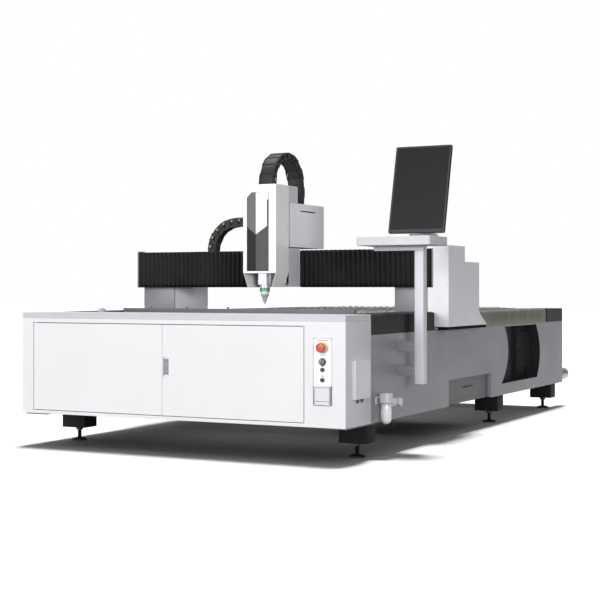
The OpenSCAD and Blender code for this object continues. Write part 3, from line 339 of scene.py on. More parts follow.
# Paint sprayed on welded steel: an even dark grey with a little orange peel, paler on its corners
frame_paint = finish("matt_frame_paint", "#4a4a4d", "#3d3d40", "#77777a", 0.55, grain=1.8, depth=0.04)
# Half the bed's width, the inner face of its side sheets, the deck's top, the
# frame's underside, its rear end and the cabinet's depth
HALF, INNER, DECK, BED_Z, END, CAB_D = 1150, 1147, 737, 215, 4357, 353
FRAME_Y, FEET_Y = (353, 1558, 2502, 3980), (440, 2836, 4215)
for side in (-1, 1):
    tube((870 * side, CAB_D, 529), (1050 * side, END, 729), "y")
    slab((770 * side, CAB_D, 729), (INNER * side, END, DECK), 1.2)
    for y in FRAME_Y:
        tube((970 * side, y, BED_Z), (1050 * side, y + 80, 529), "z", 8, 8)
        slab((970 * side, y, BED_Z), (1139 * side, y + 80, 223), 1)
    for y in FEET_Y:
        slab((930 * side, y - 70, BED_Z), (INNER * side, y + 70, 223), 1)
    slab((970 * side, 30, 205), (1139 * side, 433, BED_Z), 1)
slab((-770, CAB_D, 729), (770, 760, DECK), 1.2)
slab((-770, 4170, 729), (770, END, DECK), 1.2)
for x, y0, y1 in ((-INNER, CAB_D, END), (1067, CAB_D, 1638), (1067, 2502, 4285)):
    tube((x, y0, BED_Z), (x + 80, y1, BED_Z + 80), "y")
for y in FRAME_Y:
    slab((-970, y, BED_Z), (970, y + 8, 295), 1)
    for z in (BED_Z, 287):
        slab((-970, y + 8, z), (970, y + 80, z + 8), 1)
for y in (1638, 2472):
    slab((210, y, BED_Z), (1067, y + 30, 219), 0.8)
piece("bed_weldment", frame_paint, "bed", "bed_frame")
# Painted shadow: matt paint on the cast blocks, made nearly black and so dull that light hardly shows on it,
# for the deep shadow under the bed
shadowed_block_paint = finish("block_paint_painted_shadow", "#0d0d0e", "#090909", "#232324", 0.65, grain=1.8, depth=0.05,
    specular=0.2)
for side in (-1, 1):
    for y in FEET_Y:
        slab((930 * side, y - 70, 90), (1110 * side, y + 70, BED_Z), 4, 3)
piece("bed_foot_blocks", shadowed_block_paint, "bed", "bed_frame")

# Levelling feet. A rubber-soled pad, a coned seat and a threaded stem with a
# hexagon lock nut, black oxided against rust.
# Oxide blacking on turned steel: dark with a dim metal sheen, brighter where it has rubbed
black_oxide = finish("black_oxide_steel", "#1c1c1e", "#121213", "#4c4c50", 0.42, metallic=0.6, grain=2.0,
    depth=0.03, patch=60)
# Moulded rubber: dull and slightly pitted, without a highlight
sole_rubber = finish("moulded_rubber", "#161617", "#0f0f10", "#2b2b2c", 0.8, grain=2.5, depth=0.08, patch=40)
for fx, side_name in ((-1020, "left"), (1020, "right")):
    for fy, row_name in zip(FEET_Y, ("front", "middle", "rear")):
        thread = [(12.9 - 1.2 * (i % 2), 21 + 2.0 * i) for i in range(25)]
        turned([(0, 4), (49, 4), (50, 6), (50, 10), (47, 12.5), (24, 19), (21, 20)] + thread + [(13, 72),
            (13, 149), (0, 149)], (fx, fy, 0))
        nut = [(fx + 24 * math.cos(math.radians(60 * i)), fy + 24 * math.sin(math.radians(60 * i)))
            for i in range(6)]
        cut_plate(nut, 70, 90, "z", 1.5, [circle(fx, fy, 13.1)])
        piece(f"levelling_foot_{row_name}_{side_name}", black_oxide, "bed", "levelling_feet")
        turned([(0, 0), (46, 0), (49, 1.5), (49, 4), (0, 4)], (fx, fy, 0))
        piece(f"foot_sole_{row_name}_{side_name}", sole_rubber, "bed")

# Side panels. Three-millimetre sheet, laser cut, powder coated mid grey and
# held to the frame by button-head screws along the top and bottom.
# Powder coat baked on sheet: an even, satin mid grey with the faint ripple of the melted powder
bed_grey = finish("grey_powder_coat", "#86868b", "#7b7b80", "#a4a4a8", 0.46, grain=1.6, depth=0.03, edge_wear_and_light_share=0.3)
# Bright zinc plating: a small clear glint on each screw head
screw_steel = finish("zinc_plated_screw", "#b9bbbd", "#9c9ea0", "#d8d9da", 0.3, metallic=0.9, grain=1.0,
    depth=0.01, patch=30)


def bulge(y0, y1, rise, steps=20):
    return [(y0 + (y1 - y0) * i / steps + 4 * rise * (i / steps) * (1 - i / steps), i / steps)
        for i in range(steps + 1)]


recess_low, recess_high = 300, 726
recess_edge = [(y, recess_low + (recess_high - recess_low) * t) for y, t in bulge(2749, 2816, 120)]
recess_edge += [(y, recess_low + (recess_high - recess_low) * t) for y, t in bulge(3634, 3609, 95)][::-1]
right_outline = [(CAB_D, BED_Z), (1638, BED_Z), (1638, 394), (2502, 394), (2502, BED_Z), (END, BED_Z),
    (END, DECK), (CAB_D, DECK)]
for side, side_name, outline, holes in ((-1, "left", oblong(CAB_D, BED_Z, END, DECK), []),
        (1, "right", right_outline, [recess_edge])):
    cut_plate(outline, INNER * side, HALF * side, "x", 0.9, holes)
    if side > 0:
        slab((1067, 2500.5, 219), (1148, 2501.9, 391), 0.4)
    piece(f"{side_name}_side_sheet", bed_grey, "bed", f"{side_name}_side_panel")
    rows = [(y, 716) for y in range(420, 4330, 390)]
    rows += [(y, 236) for y in range(420, 4330, 390) if side < 0 or not 1560 < y < 2580]
    places = [(HALF * side - 0.2 * side, y, z) for y, z in rows
        if side < 0 or not (2700 < y < 3700 and z > 300)]
    screws(places, "x", side, 5.5)
    piece(f"{side_name}_side_screws", screw_steel, "bed")

# Recess in the right side. A liner of black sheet behind the panel, with an
# upright fold that parts it into two fields; a blacker ribbed sheet over the rear field is painted shadow.
# Matt paint: a dark field that stays flat in raking light
recess_black = finish("matt_black_paint", "#1c1c1e", "#151517", "#323235", 0.7, grain=1.8, depth=0.04,
    edge_wear_and_light_share=0.3, specular=0.25)
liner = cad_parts["recess_liner"]
for slot in liner.material_slots:
    slot.material = recess_black
slab((1063.5, 3250, 303), (1103, 3256, 723), 1.5)
slab((1064, 3256, 303), (1066, 3632, 723), 0.6)
for z in (372, 513, 654):
    slab((1066, 3275, z - 9), (1072, 3600, z + 9), 2)
# Painted shadow: satin paint on the fold, the rear field's sheet and its ribs, the blackest field on the bed,
# with a thin dim edge on its ribs
piece("recess_fold", finish("recess_painted_shadow_paint", "#080808", "#050505", "#161617", 0.7, grain=1.8, depth=0.03,
    specular=0.15), "bed")

# Rear panel. A flanged sheet with two banks of pressed louvres, a seam and the
# hole for the exhaust duct.
# The same powder coat in light grey, a touch paler along the folds
light_coat = finish("light_grey_powder_coat", "#c9c9ce", "#bebec4", "#dedee2", 0.44, grain=1.6, depth=0.03,
    edge_wear_and_light_share=0.3)
REAR, DUCT_X, DUCT_Z = 4360, 1098, 275
cut_plate(oblong(-HALF, BED_Z, HALF, DECK), END, REAR, "y", 0.8, [circle(DUCT_X, DUCT_Z, 47)])
for x0 in (-900, 260):
    for row in range(7):
        z = 360 + 40 * row
        profile = [(4358, z), (4359.8, z), (4359.8, z + 2), (4358, z + 16)]
        cut_plate(profile, x0, x0 + 520, "x", 0.4)
piece("rear_sheet", light_coat, "bed", "rear_panel")
for x in range(-1120, 1121, 280):
    for z in (232, 720):
        if x < 1100:
            screws([(x, 4359.8, z)], "y", 1, 5.5)
piece("rear_screws", screw_steel, "bed")

# Exhaust spigot. Rolled from galvanised sheet, with a bead that grips the duct
# and a flange held by six rivets.
# Hot-dip galvanising: a cool grey metal with the cloudy patches of its spangle
zinc = finish("galvanised_steel", "#a9adb0", "#8f9396", "#c4c7c9", 0.38, metallic=0.75, grain=9, depth=0.015,
    patch=26, tone=0.8)
turned([(47, 0), (49.5, 0), (55, 0.2), (55, 3.6), (50, 4), (50, 40), (49.4, 120), (50, 150), (50, 168),
    (49, 172), (49, 178), (50, 182), (50, 198), (49, 200), (47, 200), (47, 0)], (DUCT_X, REAR, DUCT_Z), "y")
for i in range(6):
    a = math.radians(60 * i + 30)
    screws([(DUCT_X + 52.4 * math.cos(a), REAR + 3.4, DUCT_Z + 52.4 * math.sin(a))], "y", 1, 2.4)
piece("duct_spigot", zinc, "bed", "exhaust_spigot", angle=40)

# Front cabinet. Folded sheet, welded at the corners and powder coated white,
# with its door opening, the holes of the control panel and a shut bottom.
# Powder coat in white: clean and satin, bright without mirroring
white_coat = finish("white_powder_coat", "#e8e8ea", "#e2e2e4", "#f6f6f8", 0.40, grain=1.5, depth=0.02,
    edge_wear_and_light_share=0.2)
# Painted shade: the same coat, darkened and tinted towards lilac for the cabinet's right side, so that the
# side reads a shade darker than its front
shaded_side_coat = finish("side_painted_shade_coat", "#d4d4da", "#cacad1", "#e8e8ed", 0.42, grain=1.5, depth=0.02,
    edge_wear_and_light_share=0.2)
CAB_TOP = 823
PANEL_X, ESTOP_Z, KNOB_Z, START_Z, STOP_Z = 1006, 674, 593, 547, 489
DOOR_Z0, DOOR_Z1, DOOR_X0, DOOR_X1, DOOR_GAP = 240, 792, -1055, 883, 4
SOCKET = (959, 354, 1053, 437)
stems = ((ESTOP_Z, 11.6), (KNOB_Z, 8.6), (START_Z, 6.6), (STOP_Z, 6.6))
openings = [oblong(DOOR_X0 - DOOR_GAP, DOOR_Z0 - DOOR_GAP, DOOR_X1 + DOOR_GAP, DOOR_Z1 + DOOR_GAP),
    oblong(*SOCKET)] + [circle(PANEL_X, z, r) for z, r in stems]
cut_plate(oblong(-HALF, BED_Z, HALF, CAB_TOP), 0, 3, "y", 1.2, openings)
slab((-HALF, 3, BED_Z), (-INNER, CAB_D, CAB_TOP), 1)
slab((-INNER, 350, 218), (INNER, CAB_D, CAB_TOP), 0.8)
slab((-INNER, 3, BED_Z), (INNER, 350, 218), 0.8)
for z0 in (DOOR_Z1 + DOOR_GAP, DOOR_Z0 - DOOR_GAP - 3):
    slab((DOOR_X0 + 25, 3, z0), (DOOR_X1 - 28, 22, z0 + 3), 0.8)
piece("cabinet_body", white_coat, "bed", "front_cabinet")
# The right side takes the darker coat, which is painted shade
slab((INNER, 3, BED_Z), (HALF, CAB_D, CAB_TOP), 1)
piece("cabinet_right_side", shaded_side_coat, "bed", "front_cabinet")

# Cabinet lid. A shallow folded tray in light grey, turned down over the body
# and pressed with a shadow groove under its rim.
cut_plate(rounded(-HALF, 0, HALF, CAB_D, 5), CAB_TOP + 33, CAB_TOP + 36, "z", 1.2)
cut_plate(rounded(-HALF, 0, HALF, CAB_D, 5), CAB_TOP + 0.4, CAB_TOP + 33, "z", 1.2,
    [rounded(-INNER, 3, INNER, 350, 2)])
piece("cabinet_top", light_coat, "bed", "cabinet_lid")
turned([(0, 0), (28, 0), (28, 7), (26.5, 9), (26, 14), (21, 22), (12, 28), (0, 30)], (-739, 300, 858.7), "z",
    28)
# Moulded polyamide: mid grey and satin, with one soft highlight round the knob
piece("cabinet_breather", finish("grey_moulded_polyamide", "#9c9ca0", "#8e8e92", "#b4b4b8", 0.5, grain=1.2,
    depth=0.03, patch=40), "bed")

# Cabinet doors. Folded pans, white powder coat, hung on hidden pivot pins; each
# has a welded hat-section stiffener on its back and a foam seal round its edge.
# Foam rubber: open pores and no shine, a soft dark line round the door
seal_foam = finish("door_seal_foam", "#2a2a2b", "#202021", "#3a3a3b", 0.9, grain=0.8, depth=0.15, patch=20)
PULL = (-75, 477, -35, 592)
for name, x0, x1, node, cut in (("left", DOOR_X0, -83.5, "left_door", []),
        ("right", -80.5, DOOR_X1, "right_door", [rounded(*PULL, 4)])):
    cut_plate(rounded(x0, DOOR_Z0, x1, DOOR_Z1, 3), 0, 2, "y", 0.9, cut)
    cut_plate(rounded(x0, DOOR_Z0, x1, DOOR_Z1, 3), 1.2, 20, "y", 0.8,
        [rounded(x0 + 2, DOOR_Z0 + 2, x1 - 2, DOOR_Z1 - 2, 2)])
    pin = x0 + 8 if name == "left" else x1 - 8
    for z in (DOOR_Z0, DOOR_Z1 - 14):
        cut_plate(rounded(pin - 8, 0.5, pin + 8, 20, 1), z + 0.1, z + 13.9, "z", 0.5, [circle(pin, 8, 4.05)])
    for x in (x0 + (x1 - x0) * 0.33, x0 + (x1 - x0) * 0.67):
        hat = [(x - 28, 1.9), (x - 17, 1.9), (x - 15, 16), (x + 15, 16), (x + 17, 1.9), (x + 28, 1.9),
            (x + 28, 3.4), (x + 18.2, 3.4), (x + 16.2, 17.5), (x - 16.2, 17.5), (x - 18.2, 3.4),
            (x - 28, 3.4)]
        cut_plate(hat, DOOR_Z0 + 16, DOOR_Z1 - 16, "z", 0.4)
    if cut:
        well = rounded(PULL[0] - 2, PULL[1] - 2, PULL[2] + 2, PULL[3] + 2, 5)
        cut_plate(well, 1.5, 18, "y", 0.6, [rounded(*PULL, 4)])
        cut_plate(well, 16.2, 18, "y", 0.6)
    piece(f"{name}_cabinet_door", white_coat, node, node)
    cut_plate(rounded(x0 + 3, DOOR_Z0 + 3, x1 - 3, DOOR_Z1 - 3, 4), 18.2, 22.5, "y", 1.6,
        [rounded(x0 + 11, DOOR_Z0 + 11, x1 - 11, DOOR_Z1 - 11, 3)])
    piece(f"{name}_door_seal", seal_foam, node)
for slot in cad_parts["door_pivots"].material_slots:
    slot.material = screw_steel

# Latch of the right door. A recessed cup of grey moulded nylon with a sprung
# paddle; the fingers go under its lower edge and pull.
# Nylon from a grained mould: mid grey with a broad, soft highlight
latch_nylon = finish("grey_moulded_nylon", "#8d8d90", "#808084", "#a2a2a6", 0.48, grain=1.0, depth=0.04,
    patch=30)
profile = [(4.2, 497), (4, 503), (4, 572), (5, 580), (8, 580.5), (8, 489.5), (6.6, 489), (5.6, 490),
    (6.6, 493)]
cut_plate([(y, z) for y, z in profile], -73, -37, "x", 0.7)
turned([(0, 0), (2.5, 0), (2.5, 1.4), (4.6, 1.8), (5, 2.8), (5, 36.8), (4.6, 37.8), (2.5, 38.2), (2.5, 39.6),
    (0, 39.6)], (-74.8, 7, 578), "x", 20)
for z in (520, 528, 536):
    slab((-67, 3.4, z), (-43, 4.4, z + 3), 0.4)
piece("latch_paddle_moulding", latch_nylon, "latch", "latch_paddle")

# Control plate. Anodised sheet held by four screws, with a shallow engraved
# border line and bare legend fields.
# Brushed and clear anodised aluminium: pale, with fine lines across the plate and a soft sheen
plate_metal = finish("anodised_plate", "#e3e3e6", "#dadade", "#f4f4f6", 0.35, metallic=0.15, grain=3,
    depth=0.008, patch=60, run=(0.1, 1, 1))
# Engraving cuts through the anodised skin and leaves a dull grey line
engraved = finish("engraved_line", "#7b7b7f", "#717175", "#8d8d91", 0.6, grain=1, depth=0.02, patch=30)
cut_plate(rounded(942, 340, 1070, 733, 5), -2, -0.05, "y", 0.5,
    [rounded(*SOCKET, 1)] + [circle(PANEL_X, z, r) for z, r in stems])
piece("control_panel_plate", plate_metal, "bed", "control_plate")
cut_plate(rounded(945, 343, 1067, 730, 4), -2.25, -1.9, "y", 0.1, [rounded(948.4, 346.4, 1063.6, 726.6, 3)])
for z, w in ((714, 74), (633, 30), (568, 22), (512, 22)):
    cut_plate(rounded(PANEL_X - w / 2, z - 2.2, PANEL_X + w / 2, z + 2.2, 1), -2.25, -1.9, "y", 0.1)
piece("control_panel_lines", engraved, "bed")
screws([(x, -2, z) for x in (951, 1061) for z in (349, 724)], "y", -1, 3.2)
piece("control_panel_screws", screw_steel, "bed")

# Switches. Turned and moulded operators: a mushroom stop with its ring, a rotary
# switch in a dark bezel, and two flush push buttons.
# Gloss moulded ABS: strong red with a clear highlight on the mushroom's edge, partly from its gloss and
# partly a painted highlight in paler red
red_abs = finish("gloss_red_abs", "#c63f22", "#b1351b", "#e0603f", 0.32, grain=1.2, depth=0.01, patch=25,
    coat=0.3)
# Moulded ABS in pale yellow: satin, warm against the grey plate
ring_abs = finish("pale_yellow_abs", "#ecc98a", "#dfba79", "#f6dca8", 0.4, grain=1.2, depth=0.01, patch=25)
# Black ABS from a finely grained mould: dark grey where light grazes it
black_abs = finish("black_moulded_abs", "#39393b", "#2e2e30", "#5a5a5d", 0.4, grain=0.9, depth=0.03, patch=25)
# The same plastic in dark grey, a shade duller
dark_abs = finish("dark_grey_moulded_abs", "#47474a", "#3c3c3f", "#66666a", 0.45, grain=0.9, depth=0.03,
    patch=25)
# Gloss ABS in dark green: one small bright spot on the cap
green_abs = finish("gloss_green_abs", "#3d4f46", "#35463e", "#566b60", 0.3, grain=1.2, depth=0.01, patch=25)
for z, r, stem, material, slot in ((ESTOP_Z, 33, 11.05, ring_abs, "yellow_plastic"),
        (KNOB_Z, 22, 8.05, black_abs, "yellow_plastic"), (START_Z, 13, 6.05, dark_abs, "yellow_plastic"),
        (STOP_Z, 13, 6.05, dark_abs, "yellow_plastic")):
    turned([(stem, 0.05), (r, 0.05), (r, 4), (r - 1.6, 6.5), (r - 4, 8), (stem + 1, 8), (stem, 7),
        (stem, 0.05)], (PANEL_X, -2, z), "y", 48, -1)
    piece(f"switch_collar_{z}", material, "bed", "switch_collars", angle=40)
turned([(0, -40), (11, -40), (11, 19), (20, 20), (26, 22), (28, 25), (28, 31), (26.5, 34.5), (22, 36.6),
    (12, 37), (0, 37)], (PANEL_X, 0, ESTOP_Z), "y", 56, -1)
for i in range(3):
    a = math.radians(120 * i + 20)
    slab((PANEL_X + 17 * math.cos(a) - 5, -37.0, ESTOP_Z + 17 * math.sin(a) - 1.6),
        (PANEL_X + 17 * math.cos(a) + 5, -36.2, ESTOP_Z + 17 * math.sin(a) + 1.6), 0.35)
piece("emergency_stop_head", red_abs, "estop", "estop_button", angle=40)
turned([(0, -18), (8, -18), (8, 11.2), (16.4, 11.2), (17, 12), (16.6, 21), (15.5, 22.6), (0, 23)],
    (PANEL_X, 0, KNOB_Z), "y", 40, -1)
slab((PANEL_X - 4, -31, KNOB_Z - 16), (PANEL_X + 4, -21, KNOB_Z + 16), 1.8, 3)
# Moulded ABS in mid grey: its round shoulder shows as a soft gradient
piece("mode_switch_knob", finish("grey_moulded_abs", "#77777b", "#6b6b6f", "#8f8f94", 0.38, grain=1,
    depth=0.02, patch=25), "mode_switch", "mode_knob", angle=40)
slab((PANEL_X - 0.9, -31.3, KNOB_Z + 3), (PANEL_X + 0.9, -30.6, KNOB_Z + 15), 0.2)
piece("mode_switch_pointer", ring_abs, "mode_switch")
for z, body, node, material, slot in ((START_Z, "start", "start_button", green_abs, "green_plastic"),
        (STOP_Z, "stop", "stop_button", black_abs, "red_plastic")):
    turned([(0, -26), (6, -26), (6, 14), (8.6, 14.1), (9, 15), (9, 17.6), (8.2, 18.7), (5, 18.3), (0, 18)],
        (PANEL_X, 0, z), "y", 36, -1)
    piece(f"{body}_push_button", material, body, node, angle=40)

# Service socket. A moulded well with two round inserts behind a hinged flap of
# pale polycarbonate, in a raised grey frame.
# Moulded ABS in light grey: satin, with soft shadow in the well
socket_abs = finish("grey_moulded_socket", "#b4b4b8", "#a7a7ac", "#c9c9cd", 0.42, grain=1, depth=0.03,
    patch=30)
cut_plate(rounded(959.2, 354.2, 1052.8, 436.8, 2), -1.9, 45, "y", 0.6,
    [rounded(963.5, 358.2, 1048.5, 432.8, 3)])
cut_plate(rounded(959.2, 354.2, 1052.8, 436.8, 2), 42, 45, "y", 0.6)
for x in (947.5, 1058.5):
    slab((x, -14, 445), (x + 6, -2.05, 457), 1.2)
slab((953.5, -5, 455.6), (1058.5, -2.05, 457), 0.5)
for x in (985, 1027):
    turned([(0, 42), (17, 42), (17, 30), (15, 28), (14, 28), (14, 38), (0, 38)], (x, 0, 396), "y", 28)
piece("socket_well", socket_abs, "bed", "socket_box")
cut_plate(rounded(948, 341.5, 1065, 454, 3), -4.2, -2.05, "y", 0.4, [rounded(962, 357, 1050, 434, 2)])
piece("socket_seal", engraved, "bed")
# Polycarbonate from a polished mould: pale and glossy, with a clear reflection on its flat field
flap_plastic = finish("pale_polycarbonate", "#dcdce0", "#d2d2d7", "#efeff2", 0.22, grain=2, depth=0.01,
    patch=40, coat=0.25)
cut_plate(rounded(954.5, 342, 1057.5, 451, 4), -11.5, -6.5, "y", 1.2, [rounded(966, 353, 1046, 440, 3)])
cut_plate(rounded(965, 352, 1047, 441, 3), -10.2, -7.4, "y")
slab((990, -11.5, 343.5), (1022, -10.3, 349), 0.4)
turned([(0, 0), (3, 0), (3, 7), (4.2, 7), (4.2, 110), (3, 110), (3, 117), (0, 117)], (947.5, -9, 451), "x",
    24)
piece("socket_cover_flap", flap_plastic, "socket_lid", "socket_flap")
cut_plate(rounded(956.5, 344, 1055.5, 449, 3), -11.9, -11.45, "y", 0.1, [rounded(959.5, 347, 1052.5, 446, 2)])
slab((960, -11.9, 366), (1052, -11.45, 369), 0.1)
piece("socket_flap_lines", engraved, "socket_lid")

# Junction box. A folded sheet box on the cabinet's right side, with a lipped
# cover, four corner screws and two cable glands below.
# Powder coat in a very pale lilac: satin, its folds a touch paler
lilac_coat = finish("lilac_powder_coat", "#e4e3ea", "#dad9e1", "#f2f1f6", 0.40, grain=1.6, depth=0.02,
    edge_wear_and_light_share=0.25)
cut_plate(rounded(83, 374, 290, 600, 5), 1150.2, 1170, "x", 0.8, [rounded(86, 377, 287, 597, 3)])
cut_plate(rounded(83, 374, 290, 600, 5), 1168, 1175, "x", 2.2)
piece("junction_box_cover", lilac_coat, "bed", "junction_box")
screws([(1174.6, y, z) for y in (96, 277) for z in (387, 587)], "x", 1, 3.6)
piece("junction_box_screws", screw_steel, "bed")
for y in (140, 200):
    turned([(0, 0), (10, 0), (10, 6), (7.5, 8), (7.5, 14), (5, 17), (5, 22), (0, 22)], (1162, y, 374.2), "z",
        20, -1)
piece("junction_box_glands", black_abs, "bed")

# Laser source and drives. Rack-mounted source with a ribbed case, and a plate
# with servo drives and contactors on it, seen when the doors are open.
# Black anodised aluminium: dark, with a dim metal sheen along the ribs, partly from the metal and partly a
# painted sheen in paler grey on their edges
source_black = finish("black_anodised_case", "#2b2c2f", "#232427", "#4a4b4f", 0.42, metallic=0.4, grain=1.2,
    depth=0.03, patch=120)
slab((-990, 64, 218.3), (-290, 330, 535), 4, 3)
for i in range(9):
    z = 262 + 26 * i
    slab((-870, 60.5, z), (-410, 66, z + 11), 1.5)
for x in (-960, -330):
    slab((x - 4, 61, 300), (x + 14, 65, 460), 1.5)
piece("laser_source_case", source_black, "bed", "laser_source")
slab((-60, 344, 275), (830, 350, 763), 1)
for z in (320, 620):
    slab((-40, 336, z), (810, 344, z + 35), 1)
piece("drive_mounting_plate", zinc, "bed", "drive_rack")
for i in range(6):
    x = -30 + 130 * i
    slab((x, 217, 515), (x + 90, 336, 715), 3, 3)
    slab((x + 12, 214.5, 655), (x + 78, 218, 698), 1.2)
    for k in range(5):
        slab((x + 14, 215, 530 + 22 * k), (x + 76, 218, 540 + 22 * k), 1)
for i in range(9):
    x = -30 + 95 * i
    slab((x, 277, 325), (x + 70, 336, 435), 2.5, 3)
    slab((x + 20, 274.5, 362), (x + 50, 278, 398), 1.2)
piece("servo_drives", latch_nylon, "bed", "drive_rack")

# Slag drawer. A welded sheet tray on runners, dark grey, with a bar handle on
# two standoffs and a turned-down rim.
x0, y0, z0, x1, y1, z1 = 250, 1640, 219.3, 1125, 2500, 391.3
slab((x0, y0, z0), (x1, y1, z0 + 3), 0.8)
for low, high in (((x0, y0, z0 + 3), (x0 + 3, y1, z1)), ((x0 + 3, y0, z0 + 3), (x1 - 3, y0 + 3, z1)),
        ((x0 + 3, y1 - 3, z0 + 3), (x1 - 3, y1, z1))):
    slab(low, high, 0.8)
cut_plate(rounded(y0, z0, y1, z1, 6), x1 - 3, x1, "x", 1)
cut_plate(rounded(y0 + 30, z0 + 25, y1 - 30, z1 - 25, 10), x1 - 0.4, x1 + 1.6, "x", 0.9,
    [rounded(y0 + 34, z0 + 29, y1 - 34, z1 - 29, 8)])
for y in (1998, 2142):
    turned([(0, 0), (9, 0), (9, 2), (4, 3), (4, 14)], (x1 - 0.2, y, 322.5), "x", 20)
turned([(0, 0), (4, 0.3), (5, 2), (5, 148), (4, 149.7), (0, 150)], (x1 + 14.9, 1995, 322.5), "y", 20)
# Satin paint sprayed on sheet: dark grey, worn a little paler on the rim
drawer_paint = finish("dark_grey_paint", "#4e4e52", "#434347", "#6d6d72", 0.5, grain=1.8, depth=0.03)
piece("slag_drawer_tray", drawer_paint, "drawer", "slag_drawer")

# Slat table. Side combs and cross bars carry loose slats of mild steel, plasma
# cut with points along their top; heat has tinted them and slag clings on.
# Hot-rolled steel: bright metal broken by brown and grey scale, and bright along the cut edges
slat_steel = finish("scaled_mild_steel", "#a3a2a0", "#6b6864", "#c9c8c6", 0.55, spread=0.15, metallic=0.55,
    grain=4, depth=0.25, patch=55, tone=0.9, edge_wear_and_light_share=0.8)
# Matt paint: dark grey, rubbed pale on the corners that sheets and slats slide over
bar_paint = finish("dark_table_paint", "#55555a", "#48484c", "#87878c", 0.5, grain=1.8, depth=0.04, edge_wear_and_light_share=0.6)
slat_places = [925 + 110 * i for i in range(29)]
COMB_TOP, SLAT_BOTTOM, SLAT_HALF = 847, 762, 798
slots = []
for y in slat_places:
    slots += [(y - 1.8, COMB_TOP), (y - 1.8, SLAT_BOTTOM), (y + 1.8, SLAT_BOTTOM), (y + 1.8, COMB_TOP)]
for side in (-1, 1):
    cut_plate([(762, 737.2), (4168, 737.2), (4168, COMB_TOP)] + slots[::-1] + [(762, COMB_TOP)], 780 * side,
        790 * side, "x", 0.5)
slab((-790, 4170, 737.2), (790, 4199.6, 847), 1.5)
slab((-870, 730, 737.2), (870, 759.6, 880), 2.5, 3)
for x in (-652.5, -365.4, -52.2, 330.6):
    turned([(0, 0), (8, 0), (8, 9), (6.5, 12), (0, 13)], (x, 745, 879.5), "z", 20)
piece("slat_table_frame", bar_paint, "bed", "slat_frame")
random.seed(4)
TOOTH, TEETH = 60, 26
left = -TEETH * TOOTH / 2
for y in slat_places:
    outline = [(-SLAT_HALF, SLAT_BOTTOM), (SLAT_HALF, SLAT_BOTTOM), (SLAT_HALF, 836)]
    for k in range(TEETH - 1, -1, -1):
        foot = left + TOOTH * (k + 1)
        outline += [(foot, 836 + random.uniform(-1.5, 0)), (foot - 26, 859 + random.uniform(-5, 0)),
            (foot - 34, 860 + random.uniform(-6, 2))]
    outline += [(left, 836), (-SLAT_HALF, 836)]
    cut_plate(outline, y - 1.5, y + 1.5, "y", 0.4)
piece("table_slats", slat_steel, "bed", "slats", angle=25)

# Rails and racks. Ground linear rails with countersunk screws, and helical
# racks with cut teeth on their outer face.
# Ground steel: bright, with long fine grinding lines that stretch the highlight
ground = finish("ground_rail_steel", "#b4b5b7", "#a0a1a3", "#d5d6d7", 0.24, metallic=1.0, grain=1.4,
    depth=0.006, patch=90, run=(1, 0.02, 1), edge_wear_and_light_share=0.3)
RAIL_X = 1000
for mid in (-RAIL_X, RAIL_X):
    cut_plate([(mid - 15, 737.1), (mid + 15, 737.1), (mid + 15, 752), (mid + 12.5, 755), (mid + 15, 758),
        (mid + 15, 767), (mid - 15, 767), (mid - 15, 758), (mid - 12.5, 755), (mid - 15, 752)], 373, 4337,
        "y")
piece("bed_linear_rails", ground, "bed", "y_rails")
RACK_LENGTH, RACK_TEETH = 991, 82
for side in (-1, 1):
    for k in range(4):
        start = 373 + RACK_LENGTH * k
        step = (RACK_LENGTH - 1) / RACK_TEETH
        root, bottom = 1085.5 * side, 1062 * side
        slab((root, start, 737.1), (bottom, start + RACK_LENGTH - 1, 771), 0.5)
        for n in range(RACK_TEETH):
            y = start + step * n
            cut_plate([(root - 0.2 * side, y + 0.1 * step), (root - 0.2 * side, y + 0.9 * step),
                (1090 * side, y + 0.66 * step), (1090 * side, y + 0.34 * step)], 737.4, 770.7, "z", 0.2)
piece("bed_gear_racks", ground, "bed", "y_racks")

# Bellows. Black polyurethane-coated polyester over stiffeners, welded into
# pleats that fold flat; a light weave shows, and the fold crests are painted paler, partly dust and partly a
# painted sheen.
def bellows_cloth(name, colour, dulled, edge_wear_and_light):
    # The strong edge colour paints the fold crests paler, as dust and as a painted sheen
    made = finish(name, colour, dulled, edge_wear_and_light, 0.62, spread=0.1, grain=3, depth=0.03, patch=160, tone=0.7,
        edge_wear_and_light_share=0.9, specular=0.25)
    tree = made.node_tree
    place = add_node(tree, "ShaderNodeTexCoord").outputs["Object"]
    # The cloth's threads are 0.6 mm apart; they are drawn about 3 mm apart to show. At
    # a scale of one, a wave is 314.15 mm long
    wave, threads_apart = 314.15, 2.9607
    threads = [add_node(tree, "ShaderNodeTexWave", {"Scale": wave / threads_apart, "bands_direction": axis},
        {"Vector": place}) for axis in "XYZ"]
    woven = add_node(tree, "ShaderNodeMath", {"operation": "MAXIMUM"},
        {0: threads[0].outputs["Fac"], 1: threads[1].outputs["Fac"]})
    woven = add_node(tree, "ShaderNodeMath", {"operation": "MAXIMUM"},
        {0: woven.outputs[0], 1: threads[2].outputs["Fac"]})
    weave = add_node(tree, "ShaderNodeBump", {"Strength": 0.35, "Distance": 0.0002},
        {"Height": woven.outputs[0]})
    shader = tree.nodes["Principled BSDF"]
    tree.links.new(weave.outputs[0], shader.inputs["Normal"])
    return made


